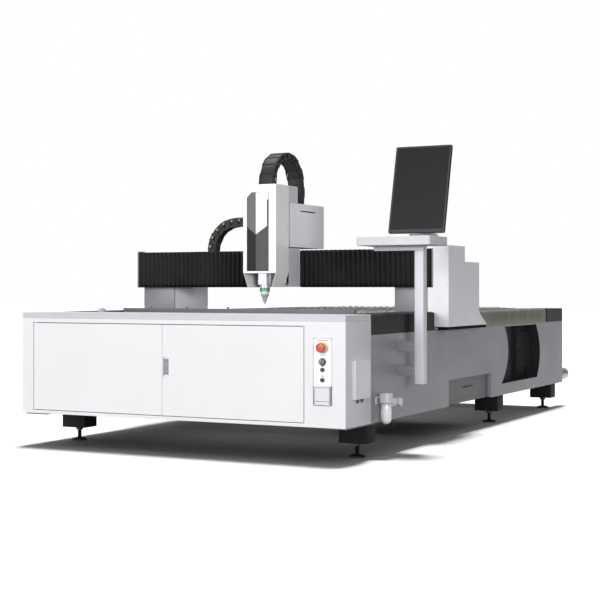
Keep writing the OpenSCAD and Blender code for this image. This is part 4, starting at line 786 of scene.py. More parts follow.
def pleats(path, start, end, count, axis, depth, first=0, last=None, skin=1.2):
    """Pleated cloth along an axis: the path is its section, open at both ends, and goes in by depth."""
    k = "xyz".index(axis)
    others = [i for i in range(3) if i != k]
    pitch = (end - start) / count
    before = tuple(2 * a - b for a, b in zip(path[0], path[1]))
    after = tuple(2 * a - b for a, b in zip(path[-1], path[-2]))
    inner = moved_left([before, *path, after], depth)[1:-1]
    stations = []
    for i in range(first, count if last is None else last):
        for share, sunk in ((0.0, 0.5), (0.12, 0.06), (0.2, 0.0), (0.3, 0.0), (0.38, 0.06), (0.62, 0.94),
                (0.7, 1.0), (0.8, 1.0), (0.88, 0.94)):
            stations.append((start + pitch * (i + share), sunk))
    stations.append((start + pitch * (count if last is None else last), 0.5))
    layers = []
    for skin_in in (0, skin):
        rows = []
        for level, sunk in stations:
            row = []
            for p, q in zip(path, inner):
                way = Vector((q[0] - p[0], q[1] - p[1]))
                far = way.normalized() * skin_in
                co = Vector((0, 0, 0))
                co[k] = level
                co[others[0]] = p[0] + way.x * sunk + far.x
                co[others[1]] = p[1] + way.y * sunk + far.y
                row.append(bench.verts.new(co))
            rows.append(row)
        layers.append(rows)
    outer, lining = layers
    for rows in layers:
        for one, two in zip(rows, rows[1:]):
            for i in range(len(one) - 1):
                bench.faces.new((one[i], one[i + 1], two[i + 1], two[i]))
    for a, b in ((outer[0], lining[0]), (outer[-1], lining[-1])):
        for i in range(len(a) - 1):
            bench.faces.new((a[i], a[i + 1], b[i + 1], b[i]))
    for i in (0, -1):
        for n in range(len(outer) - 1):
            bench.faces.new((outer[n][i], outer[n + 1][i], lining[n + 1][i], lining[n][i]))


def even_blend(made, bodies, first, last, start, end):
    """Bakes one length of a bellows or chain into the frame's coordinates; it is not blended between bodies.

    start and end, the points where the whole's share of the motion is nought and one, are not used."""
    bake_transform(made)


def bellows(name, node, cloth, path, start, end, count, axis, depth, bodies, line):
    """A whole bellows in lengths, each set in place; none is blended between the two bodies that carry its
    ends.
    """
    marks = [round(share * count) for share in (0.0, 0.03, 0.15, 0.5, 0.85, 0.97, 1.0)]
    for n, (a, b) in enumerate(zip(marks, marks[1:])):
        pleats(path, start, end, count, axis, depth, a, b)
        length = piece(f"{name}_{n}", cloth, None, node, 50)
        even_blend(length, bodies, a / count, b / count, *line)


PLEAT_DEPTH = 20
# Coated cloth in three shades: black round the beam, dark grey in front and olive at the rear
black_bellows = bellows_cloth("black_bellows_cloth", "#0b0b0c", "#070708", "#1d1d1e")
dark_bellows = bellows_cloth("grey_bellows_cloth", "#222223", "#1a1a1b", "#39393b")
olive_bellows = bellows_cloth("olive_bellows_cloth", "#67685d", "#3f4038", "#97998a")


def bed_path(side, top):
    inner_x, outer_x = 901 * side, 1149 * side
    return [(inner_x, 738), (inner_x, 790), (inner_x, top - 21), (inner_x + 4 * side, top - 7),
        (inner_x + 14 * side, top - 1), (inner_x + 24 * side, top), (1025 * side, top),
        (outer_x - 24 * side, top), (outer_x - 14 * side, top - 1), (outer_x - 4 * side, top - 7),
        (outer_x, top - 21), (outer_x, 790), (outer_x, 738)]


for side, side_name in ((-1, "left"), (1, "right")):
    for name, start, end, count, top, bodies, cloth in (("front", 353.5, 1399.5, 32, 859, ("bed", "gantry"),
            dark_bellows), ("rear", 1960.5, 3899.5, 60, 850, ("gantry", "bed"), olive_bellows)):
        bellows(f"{name}_bellows_{side_name}", f"{name}_bellows", cloth, bed_path(side, top), start, end,
            count, "y", -PLEAT_DEPTH * side, bodies, [spot(1025 * side, y, 800) for y in (start, end)])

# Bellows end boxes. Folded black covers over the rails' rear ends, with an end
# flange that takes the bellows' last frame.
for side in (-1, 1):
    xa, xb = sorted((900 * side, HALF * side))
    outline = [(xa, 737.2), (xa + 4, 737.2), (xa + 4, 841), (xb - 4, 841), (xb - 4, 737.2), (xb, 737.2)]
    cut_plate(outline + [(xb, 839), (xb - 6, 845), (xa + 6, 845), (xa, 839)], 3900, 4356, "y")
    cut_plate([(xa, 737.2), (xb, 737.2), (xb, 839), (xb - 6, 845), (xa + 6, 845), (xa, 839)], 4356, 4360, "y")
# Matt black paint: flat, with a thin grey line along each fold
end_box_paint = finish("end_box_paint", "#1a1a1b", "#141415", "#323233", 0.6, grain=1.8, depth=0.03,
    specular=0.25)
piece("rail_end_covers", end_box_paint, "bed", "bellows_end_boxes")

# Air unit. A die-cast filter head and valve body beside it, a white bowl with
# ribs, and a round hand knob, on an angle bracket screwed to the bed.
# Painted die casting: light grey, slightly uneven from the cast skin under the paint
cast = finish("painted_die_casting", "#d3d4d8", "#c5c6cb", "#e8e9ec", 0.38, grain=2.2, depth=0.06, patch=40)
FILTER_X, BOWL_Y, VALVE_Y, VALVE_Z = 1202, 455, 585, 329
slab((1150.3, 410, 325), (1155, 500, 371), 1.2)
slab((1150.3, 410, 365), (1172, 500, 371), 1.2)
cut_plate(rounded(1168, 413, 1236, 497, 20, 6), 330, 390, "z", 7)
turned([(0, 0), (30, 0), (33, 2), (33, 12), (30, 14), (0, 14)], (FILTER_X, BOWL_Y, 330), "z", 40, -1)
turned([(0, 0), (24, 0), (26, 3), (26, 158), (24, 163), (17, 166), (17, 168), (10.5, 168), (10.5, 128),
    (0, 128)], (FILTER_X, 497, VALVE_Z), "y", 40)
turned([(10.5, 0), (17, 0), (17, 2), (10.5, 2)], (FILTER_X, 663, VALVE_Z), "y", 6)
turned([(0, 0), (15, 0), (15, 6), (12, 10), (12, 14)], (FILTER_X, VALVE_Y, VALVE_Z), "x", 24)
piece("air_filter_head", cast, "bed", "filter_body", angle=40)
# Polished polycarbonate: pure white with small sharp highlights on the dome and ribs
bowl_plastic = finish("gloss_white_polycarbonate", "#f4f4f6", "#e8e8ec", "#ffffff", 0.14, grain=3, depth=0.01,
    patch=30, coat=0.6)
dome = [(32 * math.sin(math.radians(a)), 237 - 32 * math.cos(math.radians(a))) for a in range(0, 91, 10)]
turned([(0, 205)] + dome[1:] + [(32, 296), (31, 316), (29, 329.5), (0, 329.5)], (FILTER_X, BOWL_Y, 0), "z",
    48)
for i in range(8):
    a = math.radians(45 * i + 10)
    x, y = FILTER_X + 31 * math.cos(a), BOWL_Y + 31 * math.sin(a)
    slab((x - 2, y - 2, 244), (x + 2, y + 2, 300), 1.2)
piece("air_filter_bowl", bowl_plastic, "bed", "filter_bowl", angle=40)
knob_outline = []
for i in range(96):
    a = math.tau * i / 96
    r = 25.2 + 0.8 * math.cos(12 * a)
    knob_outline.append((VALVE_Y + r * math.cos(a), VALVE_Z + r * math.sin(a)))
cut_plate(knob_outline, 1229, 1247, "x", 3)
turned([(0, 0), (5, 0), (5, 19), (0, 19)], (1212, VALVE_Y, VALVE_Z), "x", 20)
piece("air_valve_hand_knob", cast, "air_valve", "air_valve_knob", angle=40)

# Console post and tray. Square tube on two channel standoffs, lilac powder
# coat, with a welded arm under a shallow white tray with a stiffened rim.
# Powder coat on drawn tube: pale lilac, with one soft highlight along each rounded corner, a painted
# highlight in paler lilac
post_coat = finish("lilac_tube_powder_coat", "#cfced6", "#c5c4cd", "#e4e3ea", 0.38, grain=1.6, depth=0.02)
tube((1262, 750, 428), (1322, 810, 1242), "z", 3, 6)
slab((1264, 752, 1239), (1320, 808, 1244.8), 1.5)
slab((1265, 753, 428), (1319, 807, 430), 0.6)
slab((990, 750, 1245.1), (1322, 810, 1274.8), 3, 3)
piece("console_post_tube", post_coat, "bed", "console_post")
for z in (478, 627):
    channel = [(750, z), (810, z), (810, z + 4), (754, z + 4), (754, z + 56), (810, z + 56), (810, z + 60),
        (750, z + 60)]
    cut_plate(channel, 1150.3, 1261.8, "x", 1)
piece("console_post_standoffs", bed_grey, "bed", "console_post")
for z in (492, 524, 641, 673):
    screws([(1256, 750.2, z)], "y", -1, 4)
piece("console_post_screws", screw_steel, "bed")
tray_outside, tray_inside = rounded(930, 620, 1415, 920, 12), rounded(933, 623, 1412, 917, 10)
for z in (1275, 1307):
    cut_plate(tray_outside, z, z + 3, "z")
for z0, z1 in ((1275, 1308.5), (1308, 1330)):
    cut_plate(tray_outside, z0, z1, "z", 1.3, [tray_inside])
# Powder coat in light grey: satin and even
tray_coat = finish("tray_powder_coat", "#c8c8cb", "#bfbfc2", "#dcdcdf", 0.42, grain=1.5, depth=0.02)
piece("console_tray_pan", tray_coat, "bed", "console_tray")

# Monitor stand. A cast foot and a column that ends in a fork for the tilt pin,
# in pale textured plastic.
# Plastic from a grained mould: the grain spreads the highlight, so it looks soft and even
stand_plastic = finish("pale_textured_plastic", "#8c8c90", "#828287", "#a8a8ac", 0.5, grain=0.9, depth=0.04,
    patch=60)
TILT_Y, TILT_Z = 860, 1591
cut_plate(rounded(1186, 785, 1366, 905, 18), 1310.2, 1318, "z", 3)
slab((1246, 880, 1317), (1306, 896, 1569), 3, 3)
for x in (1246, 1294):
    ear = [(846, 1549), (896, 1549), (896, 1591), (888, 1603), (864, 1605), (846, 1596)]
    cut_plate(ear, x, x + 12, "x", 1.5, [circle(TILT_Y, TILT_Z, 6.05, 20)])
slab((1246, 868, 1549), (1306, 896, 1567), 2)
piece("monitor_stand_casting", stand_plastic, "bed", "monitor_stand")
for outline, z, height, edge in ((rounded(1188, 828, 1364, 903, 17), 1318, 26, 1.5),
        (rounded(1192, 832, 1360, 899, 15), 1343, 8, 5)):
    cut_plate(outline, z, z + height, "z", edge, [rounded(1245, 879, 1307, 897, 2)])
# The same grained plastic in a paler grey
cap_plastic = finish("pale_moulded_cap", "#b6b6ba", "#aaaaaf", "#cbcbcf", 0.45, grain=0.9, depth=0.03,
    patch=60)
piece("monitor_stand_foot_cap", cap_plastic, "bed", "monitor_stand")

# Monitor. A slim portrait screen in a textured black case with a glossy front
# glass, vents on its back and a lug that turns on the stand's pin.
# Black plastic from a grained mould: dark grey in raking light, paler on its edges
case_plastic = finish("black_textured_case", "#1d1d1f", "#171719", "#39393c", 0.45, grain=0.8, depth=0.03,
    patch=80)
lean = Matrix.Translation((1276, TILT_Y, TILT_Z)) @ Matrix.Rotation(math.radians(-14), 4, "X")
cut_plate(rounded(-184, -260, 184, 300, 8), -62, -47, "y", 2.5, [rounded(-170, -238, 170, 286, 2)])
cut_plate(rounded(-184, -260, 184, 300, 8), -57.5, -38, "y", 2)
cut_plate(rounded(-160, -200, 160, 250, 30), -40, -28, "y", 6)
for i in range(9):
    slab((-90, -28.6, 150 + 9 * i), (90, -27.2, 154 + 9 * i), 0.5)
slab((-16, -29, -12), (16, -1, 12), 3, 3)
turned([(0, 0), (10, 0), (12, 2), (12, 30), (10, 32), (0, 32)], (-16, 0, 0), "x", 28)
turned([(0, 0), (6, 0), (6, 60), (0, 60)], (-30, 0, 0), "x", 28)
for i in range(4):
    slab((108 + 16 * i, -62.4, -254), (118 + 16 * i, -61, -250), 0.5)
bmesh.ops.transform(bench, matrix=lean, verts=bench.verts)
piece("monitor_housing", case_plastic, "monitor", "monitor_case")
cut_plate(rounded(-169.8, -237.8, 169.8, 285.8, 2), -60.5, -58, "y", 0.4)
bmesh.ops.transform(bench, matrix=lean, verts=bench.verts)
# Screen glass with an anti-glare coat, switched off: dark, with a wide dim reflection
glass = finish("dark_screen_glass", "#1b1b1d", "#161618", "#222224", 0.3, spread=0.02, grain=20, depth=0.001,
    patch=400, specular=0.25)
piece("monitor_glass", glass, "monitor", "monitor_screen")

# Gantry beam. Welded square tube with end plates that hold the bellows' last
# frames and a folded tray for the cable chain; stress-relieved and sprayed grey.
# Enamel sprayed on stress-relieved steel: satin blue-grey, a little uneven in large patches, and made darker
# as painted shade for the legs' fronts under the beam
gantry_paint = finish("gantry_grey_paint", "#77797d", "#6a6c70", "#9b9da1", 0.42, grain=2, depth=0.03,
    patch=260)
BEAM_Y0, BEAM_Y1, BEAM_BOTTOM, BEAM_TOP = 1490, 1690, 1040, 1268


def weld(start, end, width=5):
    """A weld bead of overlapping beads of metal between two points."""
    a, b = Vector(start), Vector(end)
    length = (b - a).length
    frame_x = (b - a).normalized()
    frame_y = frame_x.orthogonal().normalized()
    frame_z = frame_x.cross(frame_y)
    rings = []
    count = max(4, round(length / 7))
    for i in range(count + 1):
        thick = width * (0.85 + 0.15 * (i % 2))
        centre = a + frame_x * length * i / count
        ring = []
        for t in range(6):
            turn = t * math.tau / 6
            out = frame_y * math.cos(turn) + frame_z * math.sin(turn)
            ring.append(bench.verts.new(centre + out * thick))
        rings.append(ring)
    for one, two in zip(rings, rings[1:]):
        for t in range(6):
            bench.faces.new((one[t - 1], one[t], two[t], two[t - 1]))
    for ring in (rings[0], rings[-1]):
        bench.faces.new(ring)


tube((-1205, BEAM_Y0, BEAM_BOTTOM), (1128, BEAM_Y1, BEAM_TOP), "x", 10, 14)
cut_plate(rounded(1400, 1020, 1489.8, 1286, 4), -1205, -1197, "x")
cut_plate(rounded(1400, 1020, 1489.8, 1280, 4), 1120, 1128, "x")
for x in (-1201.5, 1126):
    weld((x, 1490, 1046), (x, 1490, 1262), 3)
cut_plate([(1690.2, 1040), (1800, 1040), (1800, 1080), (1796, 1080), (1796, 1044), (1690.2, 1044)], -927, 500,
    "x")
for x in range(-900, 500, 130):
    weld((x, 1691, 1045.5), (x + 30, 1691, 1045.5), 2.5)
piece("gantry_beam_tube", gantry_paint, "gantry", "gantry_beam")

# Gantry legs. Plate boxes welded to machined foot plates, which bolt down on
# the bearing blocks; the welds are left visible under the paint.
# Painted light: the same enamel in a very pale grey on the legs' side plates, for the light that falls on
# them
lit_leg_side_paint = finish("leg_side_painted_light", "#eeeff2", "#e4e5e9", "#f6f6f8", 0.36, grain=2, depth=0.03,
    patch=200)
# Each leg's two sides, its foot plate's two sides and its drive's middle
DRIVE_X, DRIVE_Y = (-1135.5, 1135.5), 1610
LEGS = ((817, 1085, 817, 1175.5, DRIVE_X[1]), (-1205, -937, -1205, -937, DRIVE_X[0]))
LEG_Y0, LEG_Y1, FOOT_TOP, LEG_TOP, WEB = 1490, 1960, 810, 1039.8, 8
for x0, x1, foot_x0, foot_x1, drive_x in LEGS:
    for low, high in (((x0, LEG_Y0, FOOT_TOP), (x1, LEG_Y0 + WEB, LEG_TOP)),
            ((x0, LEG_Y1 - WEB, FOOT_TOP), (x1, LEG_Y1, LEG_TOP)),
            ((x0 + WEB, LEG_Y0 + WEB, 1031), (x1 - WEB, LEG_Y1 - WEB, LEG_TOP))):
        slab(low, high, 1.2)
    cut_plate(rounded(foot_x0, LEG_Y0, foot_x1, LEG_Y1, 5), 790.1, FOOT_TOP, "z", 1.5,
        [circle(drive_x, DRIVE_Y, 22)])
    for corner_x in (x0 + 2.7, x1 - 2.7):
        for corner_y in (LEG_Y0 + 1, LEG_Y1 - 1):
            weld((corner_x, corner_y, 812), (corner_x, corner_y, 1036), 2.6)
    for y in (LEG_Y0, LEG_Y1):
        weld((x0 + 4, y, 811.5), (x1 - 4, y, 811.5), 3)
piece("gantry_leg_boxes", gantry_paint, "gantry", "gantry_legs")
# The side plates take the pale enamel as painted light
for x0, x1, *_ in LEGS:
    for x in (x0, x1 - WEB):
        slab((x, LEG_Y0 + WEB, FOOT_TOP), (x + WEB, LEG_Y1 - WEB, LEG_TOP), 1.2)
piece("gantry_leg_sides", lit_leg_side_paint, "gantry", "gantry_legs")

# Bearing blocks. Ground steel carriages on the bed's rails, with black wiper
# ends and a grease nipple; each pair carries a leg.
BEARINGS = [(mid, y0) for mid in (-RAIL_X, RAIL_X) for y0 in (1515, 1825)]
for mid, y0 in BEARINGS:
    section = [(mid - 42, 749.5), (mid - 15.6, 749.5), (mid - 13, 755), (mid - 15.6, 760),
        (mid - 15.6, 767.6), (mid + 15.6, 767.6), (mid + 15.6, 760), (mid + 13, 755), (mid + 15.6, 749.5),
        (mid + 42, 749.5), (mid + 42, 784), (mid + 36, 789.9), (mid - 36, 789.9), (mid - 42, 784)]
    cut_plate(section, y0 + 9, y0 + 101, "y", 0.7)
piece("bed_bearing_blocks", ground, "gantry", "y_bearing_blocks")
for mid, y0 in BEARINGS:
    inset = [(mid - 38, 751), (mid - 16, 751), (mid - 16, 768), (mid + 16, 768), (mid + 16, 751),
        (mid + 38, 751), (mid + 38, 782), (mid + 33, 786), (mid - 33, 786), (mid - 38, 782)]
    for end_y in (y0, y0 + 101.2):
        cut_plate(inset, end_y, end_y + 8.8, "y", 1)
piece("bed_bearing_wipers", black_abs, "gantry", "y_bearing_blocks")

# Gantry drives. A black servo motor on a planetary gearbox at each side, whose
# pinion meshes with the bed's rack; lathe-turned and anodised or painted.
# Baked enamel: glossy black with a highlight on each rib, partly from the gloss and partly a painted
# highlight in paler grey on the ribs' edges
motor_black = finish("black_motor_enamel", "#242427", "#1c1c1f", "#4a4a4e", 0.36, grain=1.2, depth=0.02)
for x in DRIVE_X:
    cut_plate(rounded(x - 39, 1570, x + 39, 1650, 5), 810.2, 830, "z", 1.2)
    turned([(0, 0), (34, 0), (34, 40), (31, 42), (31, 48), (0, 48)], (x, DRIVE_Y, 829), "z", 48)
    cut_plate(rounded(x - 36, 1574, x + 36, 1646, 8), 876, 958, "z", 1.5)
    cut_plate(rounded(x - 38, 1571, x + 38, 1649, 8), 959, 990, "z", 3)
    for i in range(6):
        cut_plate(rounded(x - 38, 1572, x + 38, 1648, 8), 882 + 12 * i, 887 + 12 * i, "z", 1)
piece("gantry_drive_motors", motor_black, "gantry", "y_drives")
PINION_TEETH = 34
for x in DRIVE_X:
    gear = []
    for n in range(PINION_TEETH):
        for part, radius in ((0.0, 41.2), (0.26, 41.2), (0.42, 45.0), (0.62, 45.0), (0.78, 41.2)):
            a = (n + part) * math.tau / PINION_TEETH
            gear.append((x + radius * math.cos(a), DRIVE_Y + radius * math.sin(a)))
    cut_plate(gear, 741, 767, "z", 0.4)
    turned([(0, 0), (14, 0), (14, 44), (0, 44)], (x, DRIVE_Y, 766), "z", 32)
piece("gantry_drive_pinions", ground, "gantry", "y_drives")

# Drive cover. Folded 3 mm sheet over the right drive, cut in steps and flared
# at its foot over the bellows; white powder coat and button-head screws.
COVER = [(1400, 760), (2155, 760), (1995, 848), (1995, 1194), (1707, 1194), (1707, 1298), (1400, 1298)]
# Powder coat in off-white: smooth and slightly glossy
cover_coat = finish("drive_cover_powder_coat", "#dcdde1", "#d2d3d8", "#f0f0f3", 0.34, grain=1.6, depth=0.02)
COVER_X, SHEET = 1240, 3
cut_plate(COVER, COVER_X - SHEET, COVER_X, "x", 1.2)
for a, b in ((1, 2), (2, 3), (3, 4), (4, 5), (5, 6)):
    (ya, za), (yb, zb) = COVER[a], COVER[b]
    way = Vector((yb - ya, zb - za)).normalized()
    wall = [(ya, za), (yb, zb), (yb - SHEET * way.y, zb + SHEET * way.x),
        (ya - SHEET * way.y, za + SHEET * way.x)]
    cut_plate(wall, 1184.8 if a in (1, 2) else 1130, 1237.4, "x", 0.6)
cut_plate([(1130, 760), (COVER_X, 760), (COVER_X, 1298), (1130, 1298), (1130, 1019.5), (1091, 1019.5),
    (1091, 760)], 1400, 1400 + SHEET, "y", 1)
slab((1091, 1403, 760), (1091 + SHEET, 1488, 1019), 0.8)
slab((1130, 1403, 1298 - SHEET), (COVER_X - SHEET, 1707, 1298), 0.8)
slab((1130.2, 1403, 1284), (1130.2 + SHEET, 1704, 1297), 0.8)
piece("drive_cover_sheet", cover_coat, "gantry", "drive_cover")
screws([(1239.8, y, z) for y, z in ((1440, 1276), (1670, 1276), (1740, 1172), (1960, 1172), (1440, 792),
    (1960, 860), (1440, 1030), (1960, 1020), (2060, 778))], "x", 1, 4.5)
screws([(1108, 1400.2, z) for z in (800, 980)] + [(1222, 1400.2, z) for z in (800, 1040, 1270)], "y", -1, 4)
piece("drive_cover_screws", screw_steel, "gantry")
# Nylon bristle: a dark fringe without highlights, kept near black also as painted shadow for the dark line
# under the cover's foot
bristle_and_shadow = finish("black_bristle_painted_shadow", "#0b0b0b", "#070707", "#191919", 0.85, grain=0.9, depth=0.1, patch=60,
    specular=0.1)
slab((1231.5, 1404, 754), (1237, 2148, 764), 0.8)
slab((1096, 1403.2, 754), (1231.5, 1407, 764), 0.8)
for n in range(93):
    slab((1234.4, 1404.5 + 8 * n, 739.5), (1236.8, 1411.9 + 8 * n, 755), 0.4)
for n in range(9):
    slab((1162 + 8 * n, 1403.4, 739.5), (1169.4 + 8 * n, 1405.8, 755), 0.4)
piece("drive_cover_brush", bristle_and_shadow, "gantry")

# Cross rails. Two ground linear rails and a rack between them, bolted to the
# beam's machined front face.
for z in (1080, 1220):
    cut_plate([(1470, z - 10), (1480, z - 10), (1482.5, z - 8), (1485, z - 10), (1489.8, z - 10),
        (1489.8, z + 10), (1485, z + 10), (1482.5, z + 8), (1480, z + 10), (1470, z + 10)], -1193, 1116, "x",
        0.6)
slab((-1193, 1472.5, 1138), (1116, 1489.8, 1162), 0.6)
for n in range(200):
    x = -1190 + 11.5 * n
    cut_plate([(x, 1472.7), (x + 2.2, 1468), (x + 5.2, 1468), (x + 7.4, 1472.7)], 1138.4, 1161.6, "z", 0.3)
piece("cross_rails_and_rack", ground, "gantry", "x_rails")

# Beam bellows. The same pleated cloth round the beam's rails, held by the end
# plates and by the carriage, in lengths set in place.
beam_path = [(1489.2, 1021), (1450, 1021), (1414, 1021), (1405, 1024), (1401, 1032), (1401, 1090),
    (1401, 1150), (1401, 1210), (1401, 1268), (1405, 1276), (1414, 1279), (1450, 1279), (1489.2, 1279)]
for side_name, start, end, count, bodies in (("left", -1196.7, -110.3, 30, ("gantry", "carriage")),
        ("right", 142.3, 1119.7, 27, ("carriage", "gantry"))):
    bellows(f"beam_bellows_{side_name}", f"{side_name}_beam_bellows", black_bellows, beam_path, start, end,
        count, "x", -PLEAT_DEPTH, bodies, [spot(x, 1450, 1150) for x in (start, end)])

# Cable chains. Moulded glass-filled nylon links with side plates, crossbars and
# a lid on the outside; on the cross chain pale yellow pins hold the lids.
# Glass-filled nylon: black and dull, grey at its corners where the fibres show
chain_nylon = finish("black_chain_nylon", "#0e0e0d", "#0a0a09", "#22211e", 0.6, grain=0.9, depth=0.03,
    patch=70)
# The same nylon with an olive cast, which sets the lids off from the side plates
lid_nylon = finish("olive_chain_nylon", "#1d1c17", "#151410", "#3c3b31", 0.55, grain=0.9, depth=0.03,
    patch=70, specular=0.3)
WALL = 4.5
# Unfilled nylon in pale yellow: a row of small light dots along the chain
pin_nylon = finish("pale_yellow_nylon", "#a3966a", "#94875c", "#b8ac84", 0.4, grain=0.9, depth=0.03, patch=30)


def link_part(part, middle, outward, across, width, length, odd, half):
    """One link's sides, lids or pins, with its middle and its outward and across directions."""
    turn = Matrix((across.cross(outward), across, outward)).transposed().to_4x4()
    turn.translation = middle
    already = set(bench.verts)
    inset = WALL if odd else 0
    if part == "sides":
        reach = length / 2 + 11
        outline = rounded(-reach, -half, reach, half, half * 2 / 3, 5)
        for low in (inset, width - inset - WALL):
            cut_plate(outline, low, low + WALL, "y", 0.8, [rounded(-12, -half / 2, 12, half / 2, 6, 3)])
        for n in (-half + 4, half - 9):
            slab((-9, 9, n), (9, width - 9, n + 5), 1.2)
        flap = half - (7.4 if odd else 8.6)
        slab((-length / 2 - 8, 9, flap), (length / 2 + 8, width - 9, flap + 2.4), 0.5)
        slab((-length / 2 - 2, 9, -flap - 2.4), (length / 2 + 2, width - 9, -flap), 0.5)
        for low, flip in () if odd else ((0, -1), (width, 1)):
            for s in (-length / 2, length / 2):
                turned([(0, 0), (9, 0), (9, 1), (7, 1.6), (0, 1.6)], (s, low, 0), "y", 16, flip)
    elif part == "lids":
        slab((-length / 2 + 1.5, 9, half - 4.5), (length / 2 - 1.5, width - 9, half - 0.2), 1.5)
        for low in (9, width - 14):
            slab((-9, low, 6 - half), (9, low + 5, half - 6), 1)
    else:
        for low, flip in ((inset, -1), (width - inset, 1)):
            turned([(0, 0), (9, 0), (9, 4), (7, 5.5), (0, 5.5)], (0, low, half - 19), "y", 14, flip)
    bmesh.ops.transform(bench, matrix=turn, verts=[v for v in bench.verts if v not in already])


def chain_pieces(name, links, node, pins, place):
    """Turns a link or a bend of links into pieces and hands each to the function that places it."""
    parts = [("sides", chain_nylon), ("lids", lid_nylon)] + ([("pins", pin_nylon)] if pins else [])
    for part, material in parts:
        for link in links:
            link_part(part, *link)
        place(piece(f"{name}_{part}", material, None, node, 40))


def rides(body):
    return lambda made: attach(made, body)


def stretches(bodies, first, last, start, end):
    return lambda made: even_blend(made, bodies, first, last, start, end)


# Each chain's place and width, its bend's middle and radius, and its link's
# length and half height
CROSS_Y, CROSS_W, CROSS_BEND, CROSS_RADIUS = 1692, 80, Vector((-537, 0, 1289.3)), 209
CROSS_LINK, CROSS_HALF, BEND_LINKS = 66.6, 33, 10
side_y, side_x, up = Vector((0, 1, 0)), Vector((1, 0, 0)), Vector((0, 0, 1))
links = []
for n in range(BEND_LINKS):
    a = math.radians(-90 - 180 / BEND_LINKS * (n + 0.5))
    out = Vector((math.cos(a), 0, math.sin(a)))
    links.append((CROSS_BEND + out * CROSS_RADIUS + side_y * CROSS_Y, out, side_y, CROSS_W, CROSS_LINK,
        n % 2 == 1, CROSS_HALF))
chain_pieces("cross_chain_bend", links, "x_chain_bend", True, rides("x_chain_loop"))
for name, count, x_start, x_end, z, out, share in (("lower", 8, -0.2, -537, 1077.3, -up, 0.0),
        ("upper", 7, -537, -90, 1501.3, up, 0.5)):
    step = (x_end - x_start) / count
    for n in range(count):
        link = (Vector((x_start + step * (n + 0.5), CROSS_Y, z)), out, side_y, CROSS_W, abs(step),
            (n + (share > 0)) % 2 == 0, CROSS_HALF)
        first, last = share + 0.5 * n / count, share + 0.5 * (n + 1) / count
        first, last = max(first, 0.02), min(last, 0.98)
        line = [spot(x_start + (x_end - x_start) * (w - share) * 2, CROSS_Y, z) for w in (0, 1)]
        chain_pieces(f"cross_chain_{name}_{n}", [link], "x_chain_runs", True,
            stretches(("gantry", "carriage"), first, last, *line))

HEAD_X, HEAD_W, HEAD_BEND, HEAD_RADIUS = -33.5, 115, Vector((0, 1363, 1720)), 210.5
HEAD_LINK, HEAD_HALF = 66.9, 22
links = []
for n in range(BEND_LINKS):
    a = math.radians(180 - 180 / BEND_LINKS * (n + 0.5))
    out = Vector((0, math.cos(a), math.sin(a)))
    links.append((HEAD_BEND + out * HEAD_RADIUS + side_x * HEAD_X, out, side_x, HEAD_W, HEAD_LINK,
        n % 2 == 1, HEAD_HALF))
chain_pieces("head_chain_bend", links, "z_chain_bend", False, rides("z_chain_loop"))
for name, count, z_start, z_end, y, out in (("front", 6, 1326, 1720, 1150, -side_y),
        ("rear", 2, 1600.2, 1720, 1576, side_y)):
    step = (z_end - z_start) / count
    for n in range(count):
        link = (Vector((HEAD_X, y, z_start + step * (n + 0.5))), out, side_x, HEAD_W, abs(step), n % 2 == 0,
            HEAD_HALF)
        if name == "front":
            line = (spot(0, y, 2114), spot(0, y, 1326))
            first, last = 1 - 0.5 * (n + 1) / count, 1 - 0.5 * n / count
        else:
            line = (spot(0, y, 1600), spot(0, y, 1840))
            first, last = 0.5 * n / count, 0.5 * (n + 1) / count
        chain_pieces(f"head_chain_{name}_{n}", [link], "z_chain_runs", False,
            stretches(("carriage", "head"), max(first, 0.02), min(last, 0.98), *line))

# Cross carriage. A milled aluminium plate on four bearing blocks, with two
# arms that carry the head's back plate; left bright from the cutter.
# Face-milled aluminium: bright metal with the cutter's fine lines upright across it
milled = finish("milled_aluminium", "#b9babd", "#a6a7aa", "#d3d4d6", 0.32, metallic=1.0, grain=1.6,
    depth=0.01, patch=120, run=(1, 1, 0.05))
LEFT_FACE, RIGHT_FACE, THIN = -110, 142, 2
cut_plate(rounded(LEFT_FACE, 1024, RIGHT_FACE, 1276, 8), 1400.3, 1430, "y", 1.5,
    [circle(x, z, 5, 12) for x in (-85, -43, 75, 117) for z in (1062, 1098, 1202, 1238)])
for z in (1080, 1220):
    for x in (-104, 56):
        block = [(1430.2, z - 28), (1482, z - 28), (1482, z - 10.6), (1469.4, z - 10.6), (1469.4, z + 10.6),
            (1482, z + 10.6), (1482, z + 28), (1430.2, z + 28)]
        cut_plate(block, x + 5, x + 75, "x", 1.2)
for z in (1040, 1240):
    slab((-90, 1255, z), (122, 1400, z + 20), 1.5)
cut_plate(rounded(-90, 1040, 122, 1560, 6), 1235.2, 1254.8, "y", 1.5,
    [circle(x, z, 6, 14) for x in (-70, 100) for z in (1080, 1300, 1520)])
piece("cross_carriage", milled, "carriage", "x_carriage")
for x in (LEFT_FACE, RIGHT_FACE - THIN):
    cut_plate(rounded(1237, 1024, 1400, 1290, 3), x, x + THIN, "x", 0.5)
piece("cross_carriage_cheeks", light_coat, "carriage", "x_carriage")
for z in (1080, 1220):
    for x in (-104, 131.4, 56, -28.6):
        cut_plate([(1431, z - 26), (1480, z - 26), (1480, z - 10.8), (1469.2, z - 10.8), (1469.2, z + 10.8),
            (1480, z + 10.8), (1480, z + 26), (1431, z + 26)], x, x + 4.6, "x", 0.6)
piece("cross_carriage_wipers", black_abs, "carriage")

# Head cover. Folded 2 mm steel sheet with a tapered foot, white powder coat;
# open behind and below, with a window, a mouth for the head and a chain slot.
FACE_Y, COVER_BACK, WAIST, HEAD_TOP = 1050, 1234.8, 1124, 1715
LEFT_IN, RIGHT_IN, TOP_IN = LEFT_FACE + THIN, RIGHT_FACE - THIN, HEAD_TOP - THIN
WINDOW = [(-82, 1130), (86, 1130), (86, 1663), (-46, 1663), (-82, 1627)]
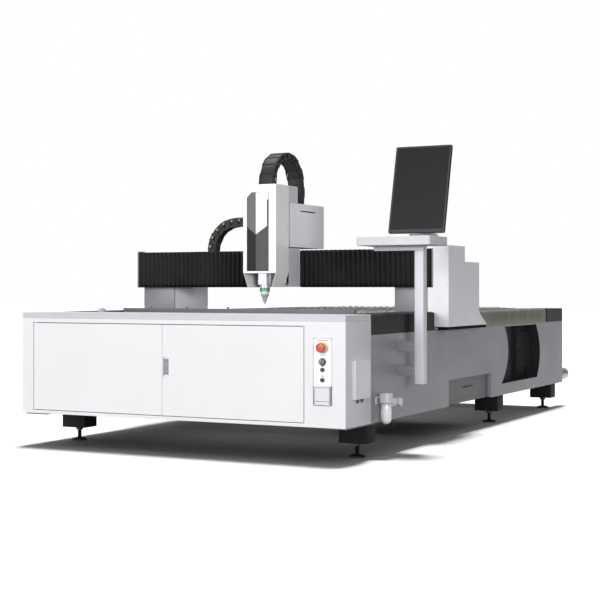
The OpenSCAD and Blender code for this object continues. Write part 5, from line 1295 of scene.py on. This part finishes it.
# Powder coat over a fine primer: the smoothest and whitest coat on the machine
head_white = finish("head_white_powder_coat", "#f0f0f2", "#e8e8eb", "#f8f8f9", 0.32, grain=1.6, depth=0.015)
face = [(-107.3, 1116), (139.3, 1116), (RIGHT_FACE, WAIST), (RIGHT_FACE, HEAD_TOP), (LEFT_FACE, HEAD_TOP),
    (LEFT_FACE, WAIST)]
cut_plate(face, FACE_Y, FACE_Y + THIN, "y", 0.6, [WINDOW])
for wall in ([(-76, 1022), (-74, 1022), (LEFT_IN, WAIST + 0.3), (LEFT_IN, TOP_IN), (LEFT_FACE, TOP_IN),
        (LEFT_FACE, WAIST)], [(108, 1022), (RIGHT_FACE, WAIST), (RIGHT_FACE, TOP_IN), (RIGHT_IN, TOP_IN),
        (RIGHT_IN, WAIST + 0.3), (106, 1022)]):
    cut_plate(wall, FACE_Y + 0.6, COVER_BACK, "y", 0.5)
cut_plate(rounded(LEFT_FACE, FACE_Y + 0.6, RIGHT_FACE, COVER_BACK, 1), TOP_IN, HEAD_TOP, "z", 0.6,
    [oblong(-37.5, 1124, 85.5, 1176)])
piece("head_cover_sheet", head_white, "carriage", "head_cover")

# Head window. A smoked acrylic pane behind a rubber rim, and a bonded trim of
# flat films whose lower end comes to a point; their tones are painted light and shade of a fold.
# Smoked acrylic with an anti-glare face: nearly black and flat, with only a dim reflection
acrylic = finish("smoked_acrylic", "#131314", "#0f0f10", "#1b1b1c", 0.3, spread=0.02, grain=20, depth=0.002,
    patch=300, specular=0.12)
# Moulded rubber: a soft black line round the pane
rim_rubber = finish("black_rim_rubber", "#232324", "#1b1b1c", "#39393a", 0.7, grain=0.9, depth=0.06, patch=60)
# Painted shade: satin film in mid grey on the upper left, for the shaded facet beside the white one
shaded_facet_film = finish("grey_film_painted_shade", "#4e4f52", "#444548", "#66676a", 0.42, grain=2, depth=0.01, patch=90)
# Painted light: the same film in a dark grey on the lower right, a shade lighter than the pane, for the lit
# facet
lit_facet_film = finish("dark_film_painted_light", "#2a2a2d", "#242427", "#3e3e41", 0.45, grain=2, depth=0.01, patch=90)
cut_plate([(x + (0.2 if x < 0 else -0.2), z + (0.2 if z < 1200 else -0.2)) for x, z in WINDOW], FACE_Y + 0.4,
    FACE_Y + THIN, "y", 0.3)
piece("head_window_pane", acrylic, "carriage", "head_window")
cut_plate(moved_left(WINDOW, -8), FACE_Y + THIN, FACE_Y + 6, "y", 1, [moved_left(WINDOW, 6)])
piece("head_window_rim", rim_rubber, "carriage", "head_window")
for name, outline, coat in (("window_trim_grey", [(-80, 1430), (-12, 1378), (-12, 1661), (-46, 1661),
        (-80, 1627)], shaded_facet_film), ("window_trim_white", [(-12, 1378), (74, 1434), (74, 1606), (84, 1616),
        (84, 1661), (-12, 1661)], head_white), ("window_trim_lower",
        [(-12, 1132), (84, 1132), (84, 1440), (74, 1434), (-12, 1378)], lit_facet_film)):
    cut_plate(outline, FACE_Y - 0.8, FACE_Y + 0.4, "y", 0.3)
    piece(name, coat, "carriage")

# Saddle cover. Folded sheet box over the carriage with a long ventilation slot
# in its side and a mouth at the left for the cross chain.
# Powder coat in white with a hint of lilac: satin and bright
saddle_coat = finish("lilac_white_powder_coat", "#f6f5f9", "#eeedf2", "#fbfbfd", 0.32, grain=1.6, depth=0.02)
SADDLE = (1255.4, 1297, 1780, 1600)
cut_plate(rounded(*SADDLE, 2), RIGHT_IN, RIGHT_FACE, "x", 0.6, [rounded(1415, 1545, 1645, 1553, 3.5)])
cut_plate(oblong(*SADDLE), LEFT_FACE, LEFT_IN, "x", 0.6, [rounded(1688, 1464, 1776, 1538, 6)])
slab((LEFT_IN, 1368.4, 1598), (RIGHT_IN, 1778, 1600), 0.6)
slab((LEFT_IN, 1778, 1297), (RIGHT_IN, 1780, 1600), 0.6)
piece("saddle_cover_sheet", saddle_coat, "carriage", "saddle_cover")
for x in (LEFT_FACE, RIGHT_IN):
    cut_plate(rounded(1237, 1598.2, 1369, HEAD_TOP, 2), x, x + THIN, "x", 0.6)
cut_plate(rounded(LEFT_IN, 1237, RIGHT_IN, 1369, 2), TOP_IN, HEAD_TOP, "z", 0.6)
for y in (1237, 1367):
    slab((LEFT_IN, y, 1598.2), (RIGHT_IN, y + THIN, TOP_IN), 0.6)
piece("cable_hood_sheet", light_coat, "carriage", "saddle_cover")
screws([(RIGHT_FACE - 0.2, y, z) for y in (1275, 1765) for z in (1315, 1582)], "x", 1, 3.5)
screws([(x, 1779.8, z) for x in (-90, 122) for z in (1320, 1580)], "y", 1, 3.5)
screws([(RIGHT_FACE - 0.2, y, z) for y in (1072, 1218) for z in (1180, 1440, 1700)], "x", 1, 3.5)
piece("saddle_cover_screws", screw_steel, "carriage")

# Saddle seal. A pale rubber bulb pushed on the saddle's two front edges, which
# closes its joint with the head cover.
# Extruded silicone rubber: pale grey and silky
pale_rubber = finish("pale_rubber_seal", "#bcbbc0", "#b1b0b5", "#cfced3", 0.6, grain=1, depth=0.04, patch=60)
for x in (-109.6, 137.6):
    cut_plate(rounded(x, 1236.4, x + 4, 1255.2, 1.6), 1298, 1596, "z", 1)
piece("saddle_seal", pale_rubber, "carriage")

# Lift drive. A black servo motor and ball screw beside two ground rails, which
# raise the cutting head's slide.
cut_plate(rounded(-104, 1141, -40, 1235, 4), 1515, 1525, "z", 1)
cut_plate(rounded(-102, 1145, -42, 1234, 7), 1525, 1618, "z", 1.5)
cut_plate(rounded(-101, 1146, -43, 1233, 9), 1619, 1655, "z", 3)
piece("lift_motor", motor_black, "carriage", "z_drive")
for x in (-40, 60):
    slab((x, 1221.2, 1082), (x + 12, 1234.8, 1485), 0.8)
thread = [(0, 0)]
for n in range(59):
    thread += [(8, 7 * n + 0.3), (8, 7 * n + 4.2), (6.9, 7 * n + 5), (6.9, 7 * n + 6.5)]
turned(thread + [(8, 413), (0, 413)], (-72, 1201, 1102), "z", 20)
piece("lift_screw_and_rails", ground, "carriage", "z_drive")

# Lift slide. A milled aluminium plate on the lift rails, with the arm of the
# cutting head and the anchor of its cable chain.
cut_plate(rounded(-98, 1179, 76, 1220.6, 3), 1132, 1322, "z", 1.2, [circle(-72, 1201, 8.8, 24)])
slab((-34, 1110, 1132), (66, 1180, 1152), 1.5)
slab((-6, 1128, 1322), (54, 1215, 1326), 1)
piece("lift_slide", milled, "head", "z_slide")

# Cutting head. An anodised barrel and optics body, a green connection ring and
# a white ceramic ring over the sensor.
# Clear anodised aluminium: pale satin metal with a soft band of light down the barrel
anodised = finish("clear_anodised_aluminium", "#c6c7cb", "#b8b9bd", "#dcdde0", 0.34, metallic=0.35, grain=1,
    depth=0.01, patch=50)
# Dyed anodising: the metal's sheen shows through the green
green_ring = finish("green_anodised_ring", "#4d9a73", "#3f8562", "#79bf9a", 0.36, metallic=0.3, grain=1,
    depth=0.01)
# Fired and glazed ceramic: off-white, with a soft bright edge that is a painted highlight
ceramic = finish("white_ceramic", "#e9ece8", "#dfe2de", "#f7f8f6", 0.3, grain=2, depth=0.01, patch=30)
# Chrome plate on turned copper: bright, with a soft band round each step
plated = finish("chrome_plated_copper", "#d2d3d9", "#bfc0c7", "#e6e7eb", 0.3, metallic=0.35, grain=1.5,
    depth=0.01, patch=25)
BARREL_X, BARREL_Y = 25, 1110
turned([(0, 0), (33, 0), (34, 1.5), (34, 20), (32.5, 21), (32.5, 23), (34, 24), (34, 116), (0, 116)],
    (BARREL_X, BARREL_Y, 1016), "z", 56)
cut_plate(rounded(-34, 1114, 66, 1184, 8), 1036, 1132, "z", 2.5)
turned([(0, 0), (28, 0), (28, 60), (26, 62), (26, 66), (28, 68), (28, 112), (24, 120), (0, 120)],
    (BARREL_X, BARREL_Y, 1152), "z", 48)
cut_plate(rounded(BARREL_X - 30, 1040, BARREL_X + 30, 1128, 5), 1074.5, 1077, "y")
turned([(0, 0), (5, 0), (5, 3), (3.6, 4), (0, 4)], (BARREL_X + 8, 1074.6, 1062), "y", 16, -1)
piece("cutting_head_body", anodised, "head", "cutting_head")
turned([(0, 0), (32, 0), (34, 2), (34, 22), (33, 24), (0, 24)], (BARREL_X, BARREL_Y, 992), "z", 56)
piece("cutting_head_ring", green_ring, "head", "cutting_head")
turned([(0, 0), (27, 0), (29.5, 2), (31, 6), (31, 15), (0, 15)], (BARREL_X, BARREL_Y, 977), "z", 56)
piece("cutting_head_sensor", ceramic, "head", "cutting_head")

# Nozzle. A turned nut with a knurled grip and a copper tip, chrome plated, with
# the gas bore right through.
turned([(1.5, 0), (4, 0), (8.5, 14), (10.5, 14.5), (17, 40), (17.5, 41), (21, 48), (26, 58), (28.5, 62),
    (29, 68), (1.5, 68), (1.5, 0)], (BARREL_X, BARREL_Y, 908), "z", 48)
piece("nozzle_and_nut", plated, "head", "nozzle")
